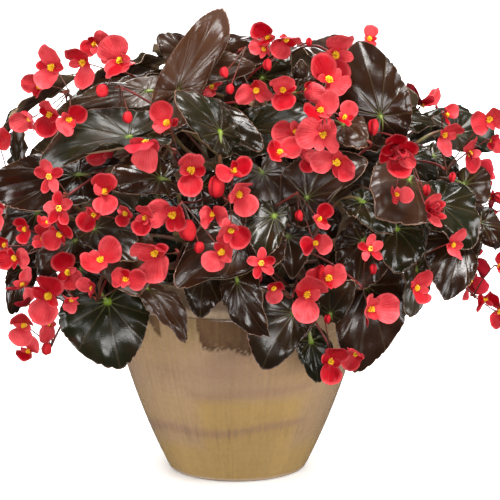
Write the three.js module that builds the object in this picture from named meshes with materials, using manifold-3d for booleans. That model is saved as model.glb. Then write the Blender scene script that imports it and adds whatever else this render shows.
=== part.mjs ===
// A potted begonia: a glazed stoneware pot, its soil, arching leafy stems and sprays of red blooms.
// Millimetres, +Z up. The origin is the middle of the pot's foot, on the surface it stands on, and -Y is
// the front. Each leafy stem is one solid (cane, leaf stalks and blades), and so is each spray (its stalks,
// blooms and buds). No two solids touch: every blade, bloom and stalk is set where it clears the others.
import * as THREE from "three";
import { mergeVertices } from "three/addons/utils/BufferGeometryUtils.js";
import Module from "manifold-3d";

const wasm = await Module();
wasm.setup();

const GAP = 0.3; // between neighbouring solids
const DEGREE = Math.PI / 180;

// Pot: a bowl that flares and bows inwards as it rises, under a thick band that forms its rim
const POT_SIDES = 36;
const FOOT_RADIUS = 82;
const FOOT_EDGE = 3;
const POT_FLARE = 0.5; // how fast the wall runs out, per millimetre of height
const POT_BOW = 0.00074; // how fast that slows
const BAND_BOTTOM = 217;
const BAND_ROLL = 9; // height of the band's rounded lower edge
const RIM_TOP = 254;
const RIM_RADIUS = 161;
const RIM_ROUND = 4;
const MOUTH_RADIUS = 143;
const WALL = 9;
const FLOOR_THICKNESS = 12;
const DRAIN_RADIUS = 6;
const DRAIN_RING = 44;
const DRAIN_COUNT = 3;
const DRAIN_SIDES = 8;

// Soil: fills the pot to a little under its rim, and heaps slightly in the middle
const SOIL_TOP = 226;
const SOIL_HEAP = 6;

// Canes stand upright in the soil and then arch out
const CANE_RADIUS = 5; // at its foot
const CANE_TAPER = 0.34; // the share of that lost by its tip
const CANE_SIDES = 5;
const CANE_STEPS = 3;
const CANE_DEPTH = 42;
const HOLE_RADIUS = 6;

// Leaves
const BLADE_THICKNESS = 1.1;
const LOPSIDED = 0.14; // how much wider one half of a blade is
const LEAF_STALK_RADIUS = 2.3;

// Blooms
const PETAL_THICKNESS = 1.2;
const SPRAY_STALK_RADIUS = 1.7;
const BLOOM_STALK_RADIUS = 1.2;
const FORK_RADIUS = 2.6;
const SMALL_BLOOM = 26; // blooms under this length have plainer outlines

// The eye that the front of the plant was laid out for: places "across" and "up" are measured in the plane
// through the aim, square to its line of sight, with the pot's axis at 0 across and its foot at 0 up
const EYE_TILT = 12.5 * DEGREE;
const EYE_DISTANCE = 4300;
const AIM = [15.2, 0, 265.5];

// The dome that the foliage fills, as the eye sees it
const DOME_MIDDLE = 250;
const DOME_HALF = 340;
const DOME_RISE = 330;
const DOME_DEPTH = 235;
const LAYER = 18; // each further layer of leaves lies this much deeper
const FOOT_BEHIND = 30; // a leaf's foot lies this much further behind the dome's front than its tip

// Leaves seen from the front: the foot's place across and up, the tip's, the width, the layer, how far the
// blade is rolled round its length, and which half is the wider one
const LEAVES = [
  [112, 183, 136, 221, 38, 0, 0, 1],
  [68, 184, 29, 117, 66, 0, -10, -1],
  [155, 216, 140, 113, 78, 0, 0, 1],
  [0, 222, 35, 155, 46, 0, -28, -1],
  [-108, 213, -60, 152, 34, 0, 30, 1],
  [-155, 197, -140, 117, 92, 0, 6, -1],
  [10, 275, -74, 211, 84, 0, 0, 1],
  [-60, 415, 35, 376, 56, 1, 14, 1],
  [60, 275, 67, 231, 43, 0, 0, 1],
  [45, 300, 30, 247, 46, 0, -8, -1],
  [84, 322, 155, 367, 70, 0, 10, 1],
  [88, 150, 98, 100, 36, 1, 0, 1],
  [150, 318, 187, 279, 42, 0, 10, -1],
  [206, 343, 168, 300, 86, 0, 0, 1],
  [241, 315, 283, 262, 64, 0, 12, 1],
  [270, 272, 247, 198, 64, 0, -8, -1],
  [272, 338, 301, 318, 44, 0, -20, 1],
  [-92, 345, -157, 330, 58, 0, -10, -1],
  [-172, 285, -122, 245, 55, 0, 10, 1],
  [-20, 401, -76, 449, 47, 0, -10, 1],
  [15, 404, 98, 424, 50, 0, 0, -1],
  [0, 428, 5, 474, 28, 0, 25, 1],
  [172, 420, 146, 511, 78, 0, 14, 1],
  [-72, 450, -17, 551, 54, 0, -12, -1],
  [-108, 450, -218, 418, 50, 0, -14, 1],
  [-130, 395, -238, 360, 66, 0, -8, -1],
  [-192, 350, -295, 330, 60, 0, 10, 1],
  [128, 410, 155, 386, 38, 1, 0, -1],
  [178, 412, 238, 412, 32, 1, 20, 1],
  [232, 410, 284, 419, 32, 1, 0, -1],
  [262, 400, 315, 386, 42, 1, -10, 1],
  [30, 352, 48, 298, 66, 1, 0, -1],
  [190, 285, 188, 232, 60, 1, 0, 1],
  [215, 235, 205, 178, 34, 1, 20, -1],
  [-40, 232, -45, 178, 46, 1, 0, 1],
  [-240, 305, -280, 250, 50, 1, 10, 1],
  [-195, 270, -240, 228, 46, 1, 0, -1],
  [-258, 238, -272, 182, 30, 1, 15, 1],
  [-262, 360, -262, 407, 30, 1, 20, -1],
  [-55, 470, 20, 480, 38, 1, 0, 1],
  [70, 448, 104, 460, 30, 1, 0, -1],
  [290, 292, 318, 262, 38, 1, 0, 1],
  [-40, 480, 45, 500, 50, 2, 0, 1],
  [72, 452, 76, 486, 26, 2, 0, -1],
  [-65, 492, -96, 516, 40, 3, 0, 1],
  [225, 300, 222, 208, 54, 2, 0, -1],
  [150, 270, 142, 212, 60, 2, 0, 1],
  [-128, 262, -120, 204, 60, 2, 0, -1],
  [-188, 236, -194, 186, 50, 2, 0, 1],
];

// Sprays seen from the front: for each bloom or bud its kind, its middle's place across and up, the length
// of its large petals, how far the pair is turned from upright, and its layer
const SPRAYS = [
  [["pair", 14, 220, 19, 40, 0], ["pair", 43, 214, 20, 0, 0], ["star", 28, 243, 19, 0, 0]],
  [["pair", 83, 206, 34, 10, 0], ["bud", 99, 233, 18, 0, 0]],
  [["pair", 159, 188, 34, 95, 0], ["star", 158, 260, 18, 0, 0], ["bud", 163, 236, 14, 0, 0]],
  [["pair", 143, 135, 24, 30, 0], ["pair", 112, 126, 27, 12, 0], ["bud", 108, 176, 12, 0, 0]],
  [["pair", -153, 377, 29, 60, 1], ["bud", -132, 418, 15, 0, 0]],
  [["pair", 71, 401, 28, 90, 0], ["pair", 51, 376, 25, 70, 0], ["pair", 84, 372, 19, 0, 1]],
  [["pair", -98, 256, 37, -10, 0], ["bud", -60, 282, 27, 0, 0]],
  [["pair", -19, 256, 29, 50, 0], ["bud", -46, 262, 15, 0, 0], ["bud", -38, 231, 14, 0, 0]],
  [["pair", -8, 284, 27, -60, 0], ["bud", -25, 334, 28, 0, 0], ["pair", 2, 326, 29, 140, 0]],
  [["pair", -78, 302, 33, 90, 0], ["pair", -110, 299, 22, 20, 0]],
  [["pair", 93, 267, 23, 90, 0], ["pair", 98, 297, 22, 20, 0], ["bud", 74, 300, 14, 0, 0]],
  [["pair", 191, 326, 21, 90, 0], ["bud", 227, 330, 15, 0, 0], ["double", 231, 306, 22, 0, 0]],
  [["pair", 257, 266, 23, 0, 0], ["pair", 214, 214, 25, 12, 0]],
  [["pair", 296, 202, 24, 60, 0], ["pair", 312, 186, 23, 0, 0], ["pair", 312, 240, 22, 20, 0]],
  [["pair", -164, 247, 32, 52, 0], ["pair", -134, 224, 27, 90, 0], ["pair", -173, 213, 20, 100, 0]],
  [["pair", -226, 204, 35, 20, 0], ["pair", -199, 201, 19, 20, 0], ["pair", -256, 216, 23, 0, 0]],
  [["pair", -255, 168, 27, 10, 0], ["pair", -250, 138, 22, 40, 0], ["bud", -229, 140, 16, 0, 0],
    ["pair", -224, 172, 24, 0, 1]],
  [["pair", -212, 279, 26, 60, 0], ["pair", -232, 273, 21, 0, 0], ["pair", -226, 292, 19, 40, 0],
    ["pair", -266, 250, 25, 90, 0], ["pair", -254, 284, 19, 0, 1]],
  [["pair", -158, 328, 28, 0, 0], ["pair", -134, 303, 17, 20, 0]],
  [["star", -225, 348, 21, 0, 0], ["star", -212, 309, 22, 0, 0]],
  [["pair", -289, 386, 30, 80, 0], ["pair", -290, 306, 27, 0, 0]],
  [["pair", -108, 389, 35, 0, 0], ["pair", -84, 411, 28, -20, 0], ["pair", -56, 354, 32, 5, 0]],
  [["pair", -222, 478, 31, 5, 0], ["pair", -225, 422, 29, 30, 0], ["pair", -202, 416, 26, 52, 0]],
  [["pair", -184, 484, 31, 0, 0], ["pair", -171, 507, 22, 75, 0], ["pair", -140, 486, 36, -20, 0],
    ["bud", -162, 450, 17, 0, 0]],
  [["pair", 58, 513, 26, 20, 0], ["pair", 38, 514, 24, -30, 0], ["bud", 86, 508, 12, 0, 0],
    ["bud", 36, 481, 15, 0, 0]],
  [["bud", -16, 472, 14, 0, 0], ["bud", -9, 452, 13, 0, 0], ["pair", -30, 455, 18, 30, 1]],
  [["pair", 22, 452, 27, 60, 0], ["pair", 55, 451, 27, 0, 0]],
  [["pair", 117, 494, 36, 12, 0], ["pair", 110, 462, 33, -39, 0], ["pair", 158, 512, 17, 0, 2]],
  [["pair", 99, 426, 27, 61, 0], ["pair", 103, 399, 36, 100, 0], ["pair", 128, 418, 20, 20, 0]],
  [["double", 190, 377, 34, 0, 0], ["bud", 163, 406, 21, 0, 0]],
  [["pair", 247, 398, 27, 10, 0], ["pair", 277, 375, 25, -20, 0], ["pair", 302, 416, 27, 80, 0],
    ["bud", 258, 346, 13, 0, 0]],
];

// Plain vectors
const add = (a, b) => [a[0] + b[0], a[1] + b[1], a[2] + b[2]];
const sub = (a, b) => [a[0] - b[0], a[1] - b[1], a[2] - b[2]];
const mul = (a, k) => [a[0] * k, a[1] * k, a[2] * k];
const dot = (a, b) => a[0] * b[0] + a[1] * b[1] + a[2] * b[2];
const size = (a) => Math.sqrt(dot(a, a));
const unit = (a) => mul(a, 1 / size(a));
const mix = (a, b, t) => add(mul(a, 1 - t), mul(b, t));
const sum = (...parts) => parts.reduce(add);
const cross = (a, b) => [
  a[1] * b[2] - a[2] * b[1],
  a[2] * b[0] - a[0] * b[2],
  a[0] * b[1] - a[1] * b[0],
];
const bend = (a, b, c, t) => sum(mul(a, (1 - t) * (1 - t)), mul(b, 2 * t * (1 - t)), mul(c, t * t));

// A fixed draw between 0 and 1 for item k of the list that the salt stands for
function chance(k, salt) {
  const drawn = Math.sin(k * 127.1 + salt * 311.7) * 43758.5453;
  return drawn - Math.floor(drawn);
}
const between = (low, high, k, salt) => low + (high - low) * chance(k, salt);

const TO_EYE = [0, -Math.cos(EYE_TILT), Math.sin(EYE_TILT)];
const EYE_UP = [0, Math.sin(EYE_TILT), Math.cos(EYE_TILT)];

// The point that the eye sees at a place across and up, at a depth behind the pot's axis
function seen(across, up, back) {
  const right = across - AIM[0];
  const above = up - AIM[2] * Math.cos(EYE_TILT);
  const share =
    (back + EYE_DISTANCE * Math.cos(EYE_TILT)) /
    (EYE_DISTANCE * Math.cos(EYE_TILT) + above * Math.sin(EYE_TILT));
  const eye = add(AIM, mul(TO_EYE, EYE_DISTANCE));
  const ray = sum(mul(TO_EYE, -EYE_DISTANCE), [right, 0, 0], mul(EYE_UP, above));
  return add(eye, mul(ray, share));
}

// How far back the front of the dome of leaves lies, at a place across and up
function frontOfDome(across, up) {
  const left = 1 - (across / DOME_HALF) ** 2 - ((up - DOME_MIDDLE) / DOME_RISE) ** 2;
  return -DOME_DEPTH * Math.sqrt(Math.max(0.04, left));
}

// Room: spaced points on every blade, petal and stalk, each with the space it keeps round itself
const CELL = 13;
const cells = new Map();
const cellOf = (point, i, j, k) =>
  `${Math.floor(point[0] / CELL) + i},${Math.floor(point[1] / CELL) + j},${Math.floor(point[2] / CELL) + k}`;

function claim(beads, owner) {
  for (const bead of beads) {
    const cell = cellOf(bead.at, 0, 0, 0);
    if (!cells.has(cell)) cells.set(cell, []);
    cells.get(cell).push({ ...bead, owner });
  }
}

// The radius of the pot's outside at a height, under its band and with it
const wallRadius = (height) => FOOT_RADIUS + POT_FLARE * height - POT_BOW * height * height;
const potRadius = (height) => (height > BAND_BOTTOM - 2 ? RIM_RADIUS : wallRadius(height));

// How far a point is from the pot and the soil
function roomFromPot(point) {
  const out = Math.hypot(point[0], point[1]);
  const height = point[2];
  if (height > RIM_TOP) {
    if (out > RIM_RADIUS) return Math.hypot(out - RIM_RADIUS, height - RIM_TOP);
    return out < MOUTH_RADIUS ? height - SOIL_TOP - SOIL_HEAP : height - RIM_TOP;
  }
  if (out > potRadius(height)) return out - potRadius(height);
  return Math.min(MOUTH_RADIUS - out, height - SOIL_TOP - SOIL_HEAP);
}

const POT_ROOM = 1.2; // kept besides from the pot and the soil

// Whether these points keep clear of the pot and of everything set so far, but for what is passed over
function clear(beads, passOver) {
  for (const bead of beads) {
    if (roomFromPot(bead.at) < bead.room + POT_ROOM) return false;
    for (let i = -1; i <= 1; i++)
      for (let j = -1; j <= 1; j++)
        for (let k = -1; k <= 1; k++)
          for (const other of cells.get(cellOf(bead.at, i, j, k)) ?? []) {
            const least = bead.room + other.room;
            const apart = sub(bead.at, other.at);
            if (dot(apart, apart) < least * least && !passOver(other, bead)) return false;
          }
  }
  return true;
}

// Canes: rings of them, each leaning out to its place under the leaves
const CANE_UPRIGHT = 0.55; // the share of its height that a cane stands upright for
const CANE_RINGS = [
  { count: 8, start: 22, base: 96, reach: 188, top: 322 },
  { count: 5, start: 40, base: 58, reach: 118, top: 405 },
  { count: 3, start: -70, base: 24, reach: 58, top: 462 },
];

const canes = CANE_RINGS.flatMap((ring, row) =>
  Array.from({ length: ring.count }, (_, k) => {
    const turn = (ring.start + (360 / ring.count) * k + between(-7, 7, k, 1 + row)) * DEGREE;
    const out = [Math.cos(turn), Math.sin(turn), 0];
    const top = ring.top + between(-12, 12, k, 11 + row);
    const ground = add(mul(out, ring.base), [0, 0, SOIL_TOP]);
    const knee = add(mul(out, ring.base), [0, 0, SOIL_TOP + CANE_UPRIGHT * (top - SOIL_TOP)]);
    return { ground, knee, tip: add(mul(out, ring.reach), [0, 0, top]) };
  }),
);

// A cane's solid is straight between the points of its route, from its foot in the soil to its tip
const CANE_FOOT = 4; // its first stretch starts this high over the soil's level
for (const cane of canes) {
  cane.route = [add(cane.ground, [0, 0, CANE_FOOT])];
  for (let k = 1; k <= CANE_STEPS; k++)
    cane.route.push(bend(cane.ground, cane.knee, cane.tip, k / CANE_STEPS));
  cane.root = add(cane.ground, [0, 0, -CANE_DEPTH]);
}
const caneRadius = (t) => CANE_RADIUS * (1 - CANE_TAPER * t);
function canePoint(cane, t) {
  const step = Math.min(CANE_STEPS - 1, Math.floor(t * CANE_STEPS));
  return mix(cane.route[step], cane.route[step + 1], t * CANE_STEPS - step);
}

const CANE_BEADS = 28;
canes.forEach((cane, index) => {
  const beads = Array.from({ length: CANE_BEADS + 1 }, (_, k) => ({
    at: canePoint(cane, k / CANE_BEADS),
    room: caneRadius(k / CANE_BEADS) + 1,
  }));
  claim(beads, `cane ${index}`);
});

// A blade's outline: how far it reaches from its foot, at an angle from its tip line, as a share of its
// length. It is heart-shaped and drawn out to a point, with a notch behind the foot.
const LOBE = 0.42; // the reach of the lobes beside the notch
const BELLY = 0.25; // what the middle adds to it
const POINT = 0.33; // what the tip adds to it, fading over an angle of POINT_TURN
const POINT_TURN = 27;
const NOTCH_FROM = 158;
const NOTCH_DEPTH = 0.9;
const OUTLINE_WIDTH = 1.09; // width of that outline, as a share of its length
function outline(angle) {
  const turned = Math.abs(angle) / DEGREE;
  const heart = LOBE + BELLY * Math.cos(angle / 2) ** 2 + POINT * Math.exp(-turned / POINT_TURN);
  const notch = Math.min(1, Math.max(0, (turned - NOTCH_FROM) / (180 - NOTCH_FROM)));
  return heart * (1 - NOTCH_DEPTH * notch * notch * (3 - 2 * notch));
}

const ARCH = [0.07, 0.17]; // rise of the midrib, as a share of the length
const FOLD = [0.02, 0.34]; // rise of each half beside the midrib
const DROOP = [0.2, 0.5]; // fall of its edge, as a share of the width
const WAVE = [2.2, 4.2]; // rise and fall of the edge, in millimetres
const WAVES = [5, 8];

// A leaf's frame: from its foot along its length, across it, and out of its upper face
function makeLeaf(foot, tip, width, facing, roll, wider, k, fine) {
  const along = unit(sub(tip, foot));
  const level = unit(sub(facing, mul(along, dot(facing, along))));
  const side = cross(level, along);
  const turn = roll * DEGREE;
  const length = size(sub(tip, foot));
  return {
    foot,
    along,
    across: sub(mul(side, Math.cos(turn)), mul(level, Math.sin(turn))),
    out: add(mul(level, Math.cos(turn)), mul(side, Math.sin(turn))),
    length,
    spread: width / (OUTLINE_WIDTH * length),
    width,
    wider,
    arch: between(...ARCH, k, 21) * length,
    fold: between(...FOLD, k, 22),
    droop: between(...DROOP, k, 23),
    wave: between(...WAVE, k, 24),
    waves: Math.floor(between(...WAVES, k, 25)),
    phase: between(0, 6, k, 26),
    fine,
  };
}

// A point of a blade, a share of the way out to its edge at an angle
function bladePoint(leaf, share, angle) {
  const reach = leaf.length * outline(angle) * share;
  const half = angle * leaf.wider > 0 ? 1 + LOPSIDED : 1 - LOPSIDED;
  const x = reach * Math.cos(angle);
  const y = reach * Math.sin(angle) * leaf.spread * half;
  const s = x / leaf.length;
  const lift =
    leaf.arch * 4 * s * (s > 0 ? 1 - s : 1) +
    leaf.fold * Math.abs(y) -
    (leaf.droop * y * y) / leaf.width +
    leaf.wave * share * share * Math.sin(leaf.waves * angle + leaf.phase);
  return sum(leaf.foot, mul(leaf.along, x), mul(leaf.across, y), mul(leaf.out, lift));
}

// The corners of a blade: two beside its foot, its midrib, its tip, and those along each half's edge
const BLADE_ANGLES = [28, 72, 128];
const PLAIN_BLADE_ANGLES = [36, 112]; // for the leaves further back
const RIB_SHARES = [0.42, 0.76, 1];
const TIP = 4;
const FIRST_EDGE = 5;

function bladeCorners(leaf) {
  const beside = mul(leaf.across, LEAF_STALK_RADIUS * 0.7);
  const angles = leaf.fine ? BLADE_ANGLES : PLAIN_BLADE_ANGLES;
  return [
    add(leaf.foot, beside),
    sub(leaf.foot, beside),
    ...RIB_SHARES.map((share) => bladePoint(leaf, share, 0)),
    ...angles.map((angle) => bladePoint(leaf, 1, angle * DEGREE)),
    ...angles.map((angle) => bladePoint(leaf, 1, -angle * DEGREE)),
  ];
}

// The triangles between them, half by half
function halfBlade(fine, foot, edge) {
  const inner = [
    [TIP, edge, 3],
    [edge, 2, 3],
    [edge, edge + 1, 2],
  ];
  return fine
    ? [...inner, [edge + 1, edge + 2, 2], [edge + 2, foot, 2]]
    : [...inner, [edge + 1, foot, 2]];
}
const otherEdge = (fine) => FIRST_EDGE + (fine ? BLADE_ANGLES : PLAIN_BLADE_ANGLES).length;
const bladeFaces = (fine) => [
  ...halfBlade(fine, 0, FIRST_EDGE),
  ...halfBlade(fine, 1, otherEdge(fine)).map(([a, b, c]) => [a, c, b]),
  [0, 1, 2],
];

const BEAD_STEP = 10;
const BLADE_ROOM = 5.9;
const FOOT_ROOM = 4;
function leafBeads(leaf) {
  const corners = bladeCorners(leaf);
  const beads = [{ at: leaf.foot, room: FOOT_ROOM, foot: true }];
  for (const [a, b, c] of bladeFaces(leaf.fine)) {
    const p = corners[a];
    const q = corners[b];
    const r = corners[c];
    const n = Math.ceil(Math.max(size(sub(p, q)), size(sub(q, r)), size(sub(r, p))) / BEAD_STEP);
    for (let i = 0; i <= n; i++)
      for (let j = 0; i + j <= n; j++) {
        const at = sum(mul(p, i / n), mul(q, j / n), mul(r, (n - i - j) / n));
        if (size(sub(at, leaf.foot)) > FOOT_ROOM) beads.push({ at, room: BLADE_ROOM });
      }
  }
  return beads;
}

// A stalk bends from one end past a knee to the other. Its solid is straight between these points.
const stalkRoute = ({ start, knee, end }) => [start, bend(start, knee, end, 0.5), end];

const STALK_BEAD_STEP = 6;
function stalkBeads(stalk, room) {
  const route = stalkRoute(stalk);
  return route.slice(1).flatMap((to, n) => {
    const from = route[n];
    const count = Math.ceil(size(sub(to, from)) / STALK_BEAD_STEP);
    return Array.from({ length: count + 1 }, (_, k) => ({ at: mix(from, to, k / count), room }));
  });
}

// The stalk that carries a leaf, from the nearest cane that it can reach without touching anything
const KNEE_SHIFTS = [
  [0, 0], [0.3, 0], [-0.3, 0], [0, 0.3], [0, -0.3], [0.45, 0.3], [-0.45, 0.3], [0.2, 0.15], [-0.2, 0.15],
  [0.5, 0], [-0.5, 0], [0, 0.5],
];
const STALK_RUN = 0.42; // the share of its reach that a stalk follows the blade's line for
const STALK_DROP = 0.16; // how far it falls under that line
const LEAF_STALK_REACH = 185;
const SHORTEST_STALK = 22;
const CANE_PLACES = 26; // places of a cane that a stalk can grow from
const LOWEST_PLACE = 5;
const LEVEL_START = 20; // a stalk that starts further above its end than this is put off
const used = new Set();

function reachable(point, longest) {
  const places = [];
  canes.forEach((cane, index) => {
    for (let k = LOWEST_PLACE; k <= CANE_PLACES; k++) {
      if (used.has(`${index},${k}`)) continue;
      const at = canePoint(cane, k / CANE_PLACES);
      const far = size(sub(point, at));
      const above = Math.max(0, at[2] - point[2] - LEVEL_START);
      if (far > SHORTEST_STALK && far < longest) places.push({ index, k, at, cost: far + above });
    }
  });
  return places.sort((a, b) => a.cost - b.cost);
}

const LEAF_STALK_ROOM = 0.6;
const STALK_ROOT = 4; // cane radii within which the stalks of one cane may run together
const BEADS_AT_FOOT = 3; // the last beads of a stalk, where it joins its blade
const OWN_BLADE_ROOM = 6.5;
function leafStalk(leaf, own) {
  for (const place of reachable(leaf.foot, LEAF_STALK_REACH)) {
    const far = size(sub(leaf.foot, place.at));
    for (const [aside, under] of KNEE_SHIFTS) {
      const knee = sum(
        leaf.foot,
        mul(leaf.along, -STALK_RUN * far),
        mul(leaf.across, aside * far),
        mul(leaf.out, -(STALK_DROP + under) * far),
      );
      const stalk = { start: place.at, knee, end: leaf.foot, cane: place.index, place: place.k };
      const beads = stalkBeads(stalk, LEAF_STALK_RADIUS + LEAF_STALK_ROOM);
      const cane = `cane ${place.index}`;
      const stalks = `stalks ${place.index}`;
      const passOver = (other, bead) =>
        (other.owner === cane || other.owner === stalks) &&
        size(sub(bead.at, place.at)) < STALK_ROOT * CANE_RADIUS;
      if (!clear(beads, passOver)) continue;
      const free = beads.slice(0, -BEADS_AT_FOOT);
      const pierces = own.some(
        (bead) => !bead.foot && free.some((b) => size(sub(b.at, bead.at)) < OWN_BLADE_ROOM),
      );
      if (!pierces) return { stalk, beads };
    }
  }
  return null;
}

const leaves = [];
function setLeaf(leaf) {
  const beads = leafBeads(leaf);
  if (!clear(beads, () => false)) return false;
  const carried = leafStalk(leaf, beads);
  if (!carried) return false;
  claim(beads, "blade");
  claim(carried.beads, `stalks ${carried.stalk.cane}`);
  used.add(`${carried.stalk.cane},${carried.stalk.place}`);
  leaves.push({ ...leaf, stalk: carried.stalk, cane: carried.stalk.cane });
  return true;
}

// Leaves of the front slide along the line of sight, and roll a little, until they clear their neighbours
const SLIDES = [0, -9, 9, -18, 18, 27, -27, 38, 50, -38, 62, 75, 90, 105, 120, 135, 150];
const ROLLS = [0, 10, -10, 20, -20];
const strain = ([slide, roll]) => Math.abs(slide) + 2 * Math.abs(roll);
const TRIES = SLIDES.flatMap((slide) => ROLLS.map((roll) => [slide, roll]));
TRIES.sort((a, b) => strain(a) - strain(b));
const BROADER = 1.1; // blades are this much wider than they look from the front

LEAVES.forEach(([footAcross, footUp, tipAcross, tipUp, width, layer, roll, wider], k) => {
  for (const [slide, more] of TRIES) {
    const deep = LAYER * layer + slide;
    const foot = seen(footAcross, footUp, frontOfDome(footAcross, footUp) + FOOT_BEHIND + deep);
    const tip = seen(tipAcross, tipUp, frontOfDome(tipAcross, tipUp) + deep);
    const facing = unit([foot[0] / 700, -0.88, 0.45]);
    const leaf = makeLeaf(foot, tip, BROADER * width, facing, roll + more, wider, k, layer === 0);
    if (setLeaf(leaf)) return;
  }
});

// Blooms: each petal's angle round the middle, its length and its width, as shares of the bloom's size
const PETALS = {
  pair: [[0, 1, 0.98], [90, 0.6, 0.4], [180, 1, 0.98], [270, 0.6, 0.4]],
  star: [[0, 1, 0.6], [72, 0.95, 0.6], [144, 1, 0.55], [216, 1, 0.55], [288, 0.95, 0.6]],
  double: [[0, 1, 0.8], [62, 0.8, 0.5], [118, 0.8, 0.5], [180, 1, 0.8], [242, 0.8, 0.5], [298, 0.8, 0.5]],
};
const PETAL_CUP = { pair: 0.2, star: 0.16, double: 0.75 };
const BROAD = 0.7; // petals wider than this have a rounder outline

// A bloom's frame: its middle, the way it faces, and the way its first petal points
function makeBloom(kind, middle, facing, length, roll, k) {
  const upright = unit(sub(EYE_UP, mul(facing, dot(facing, EYE_UP))));
  const aside = cross(upright, facing);
  const turn = roll * DEGREE;
  return {
    kind,
    middle,
    facing,
    length,
    first: add(mul(upright, Math.cos(turn)), mul(aside, Math.sin(turn))),
    second: sub(mul(aside, Math.cos(turn)), mul(upright, Math.sin(turn))),
    cup: PETAL_CUP[kind] + between(-0.05, 0.12, k, 31),
  };
}

// A point of a bloom: a distance out from its middle at an angle, and aside from that line
function bloomPoint(bloom, angle, outwards, aside) {
  const turn = angle * DEGREE;
  const way = add(mul(bloom.first, Math.cos(turn)), mul(bloom.second, Math.sin(turn)));
  const beside = sub(mul(bloom.second, Math.cos(turn)), mul(bloom.first, Math.sin(turn)));
  const lift = (bloom.cup * (outwards * outwards + 0.6 * aside * aside)) / bloom.length;
  return sum(bloom.middle, mul(way, outwards), mul(beside, aside), mul(bloom.facing, lift));
}

const PETAL_ROOM = 4.6;
const BUD_ROOM = 5;
const BLOOMS_APART = 8.4; // between the beads of two blooms of one spray
function bloomBeads(bloom) {
  if (bloom.kind === "bud") {
    const half = mul(bloom.first, bloom.length * 0.3);
    const places = [bloom.middle, add(bloom.middle, half), sub(bloom.middle, half)];
    return places.map((at) => ({ at, room: BUD_ROOM }));
  }
  const beads = [{ at: add(bloom.middle, mul(bloom.facing, 3)), room: PETAL_ROOM }];
  for (const [angle, long, wide] of PETALS[bloom.kind])
    for (const share of [0.3, 0.62, 0.92])
      for (const aside of wide > BROAD && share > 0.5 ? [-0.32, 0, 0.32] : [0])
        beads.push({
          at: bloomPoint(bloom, angle, share * long * bloom.length, aside * wide * bloom.length),
          room: PETAL_ROOM,
        });
  return beads;
}

// The stalks of a spray: one from a cane to a fork, and one from the fork to the back of each bloom
const FORK_DEPTHS = [34, 48, 24, 62, 80, 96, 14];
const FORK_ASIDES = [0, 12, -12, 24, -24, 38, -38];
const FORK_UPS = [-10, 6, -26, 22, 42, 64];
const SPRAY_KNEES = [
  [0, 0.3], [0, -0.1], [0.3, 0.2], [-0.3, 0.2], [0.45, 0], [-0.45, 0], [0.15, 0.1], [-0.15, 0.1], [0, 0.5],
  [0.25, -0.2], [-0.25, -0.2],
];
const RECEPTACLE = 5; // behind a bloom's middle
const SPRAY_STALK_REACH = 240;
const TWIG_ROOM = 1;
const SPRAY_STALK_ROOM = 1.2;
const SPRAY_ROOT = 2.6; // cane radii within which a spray's stalk may touch the cane that it starts from

function sprayStalks(blooms) {
  const middle = mul(sum(...blooms.map((bloom) => bloom.middle)), 1 / blooms.length);
  const facing = unit(sum(...blooms.map((bloom) => bloom.facing)));
  const aside = unit(cross([0, 0, 1], facing));
  for (const depth of FORK_DEPTHS)
    for (const sideways of FORK_ASIDES)
      for (const rise of FORK_UPS) {
        const fork = sum(middle, mul(facing, -depth), mul(aside, sideways), [0, 0, rise]);
        const twigs = blooms.map((bloom) => {
          const end = add(bloom.middle, mul(bloom.facing, -RECEPTACLE));
          return { start: fork, knee: mix(fork, end, 0.5), end };
        });
        const beads = twigs.flatMap((twig) => stalkBeads(twig, BLOOM_STALK_RADIUS + TWIG_ROOM));
        if (!clear(beads, () => false)) continue;
        for (const place of reachable(fork, SPRAY_STALK_REACH)) {
          const far = size(sub(fork, place.at));
          for (const [sway, lift] of SPRAY_KNEES) {
            const knee = sum(mix(place.at, fork, 0.55), mul(aside, sway * far), [0, 0, lift * far]);
            const stem = { start: place.at, knee, end: fork, cane: place.index };
            const stemBeads = stalkBeads(stem, SPRAY_STALK_RADIUS + SPRAY_STALK_ROOM);
            const cane = `cane ${place.index}`;
            const foot = (other, bead) =>
              other.owner === cane && size(sub(bead.at, place.at)) < SPRAY_ROOT * CANE_RADIUS;
            if (clear(stemBeads, foot)) return { stem, twigs, beads: [...beads, ...stemBeads] };
          }
        }
      }
  return null;
}

const sprays = [];
function setSpray(blooms) {
  const carried = sprayStalks(blooms);
  if (!carried) return false;
  for (const bloom of blooms) claim(bloomBeads(bloom), "bloom");
  claim(carried.beads, "spray");
  sprays.push({ blooms, stem: carried.stem, twigs: carried.twigs, cane: carried.stem.cane });
  return true;
}

// Blooms of the front slide along the line of sight too, first towards the eye
const BLOOM_SLIDES = [0, -8, 8, -16, -24, 16, -32, 24, -42, 34, -54, 46, 60, -66, 76, 90, 105, 120];

const BLOOM_BEFORE = 10; // a bloom's middle lies this much before the front of the leaves
function slideBloom([kind, across, up, length, roll, layer], slide, k, taken) {
  const back = frontOfDome(across, up) - BLOOM_BEFORE + 2 * LAYER * layer + slide;
  const middle = seen(across, up, back);
  const facing = unit([
    middle[0] / 420 + between(-0.22, 0.22, k, 41),
    -1,
    0.18 + between(-0.25, 0.3, k, 42),
  ]);
  const bloom = makeBloom(kind, middle, facing, length, roll, k);
  const beads = bloomBeads(bloom);
  const touches = taken.some((one) => beads.some((b) => size(sub(b.at, one.at)) < BLOOMS_APART));
  return clear(beads, () => false) && !touches ? { bloom, beads } : null;
}

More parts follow.
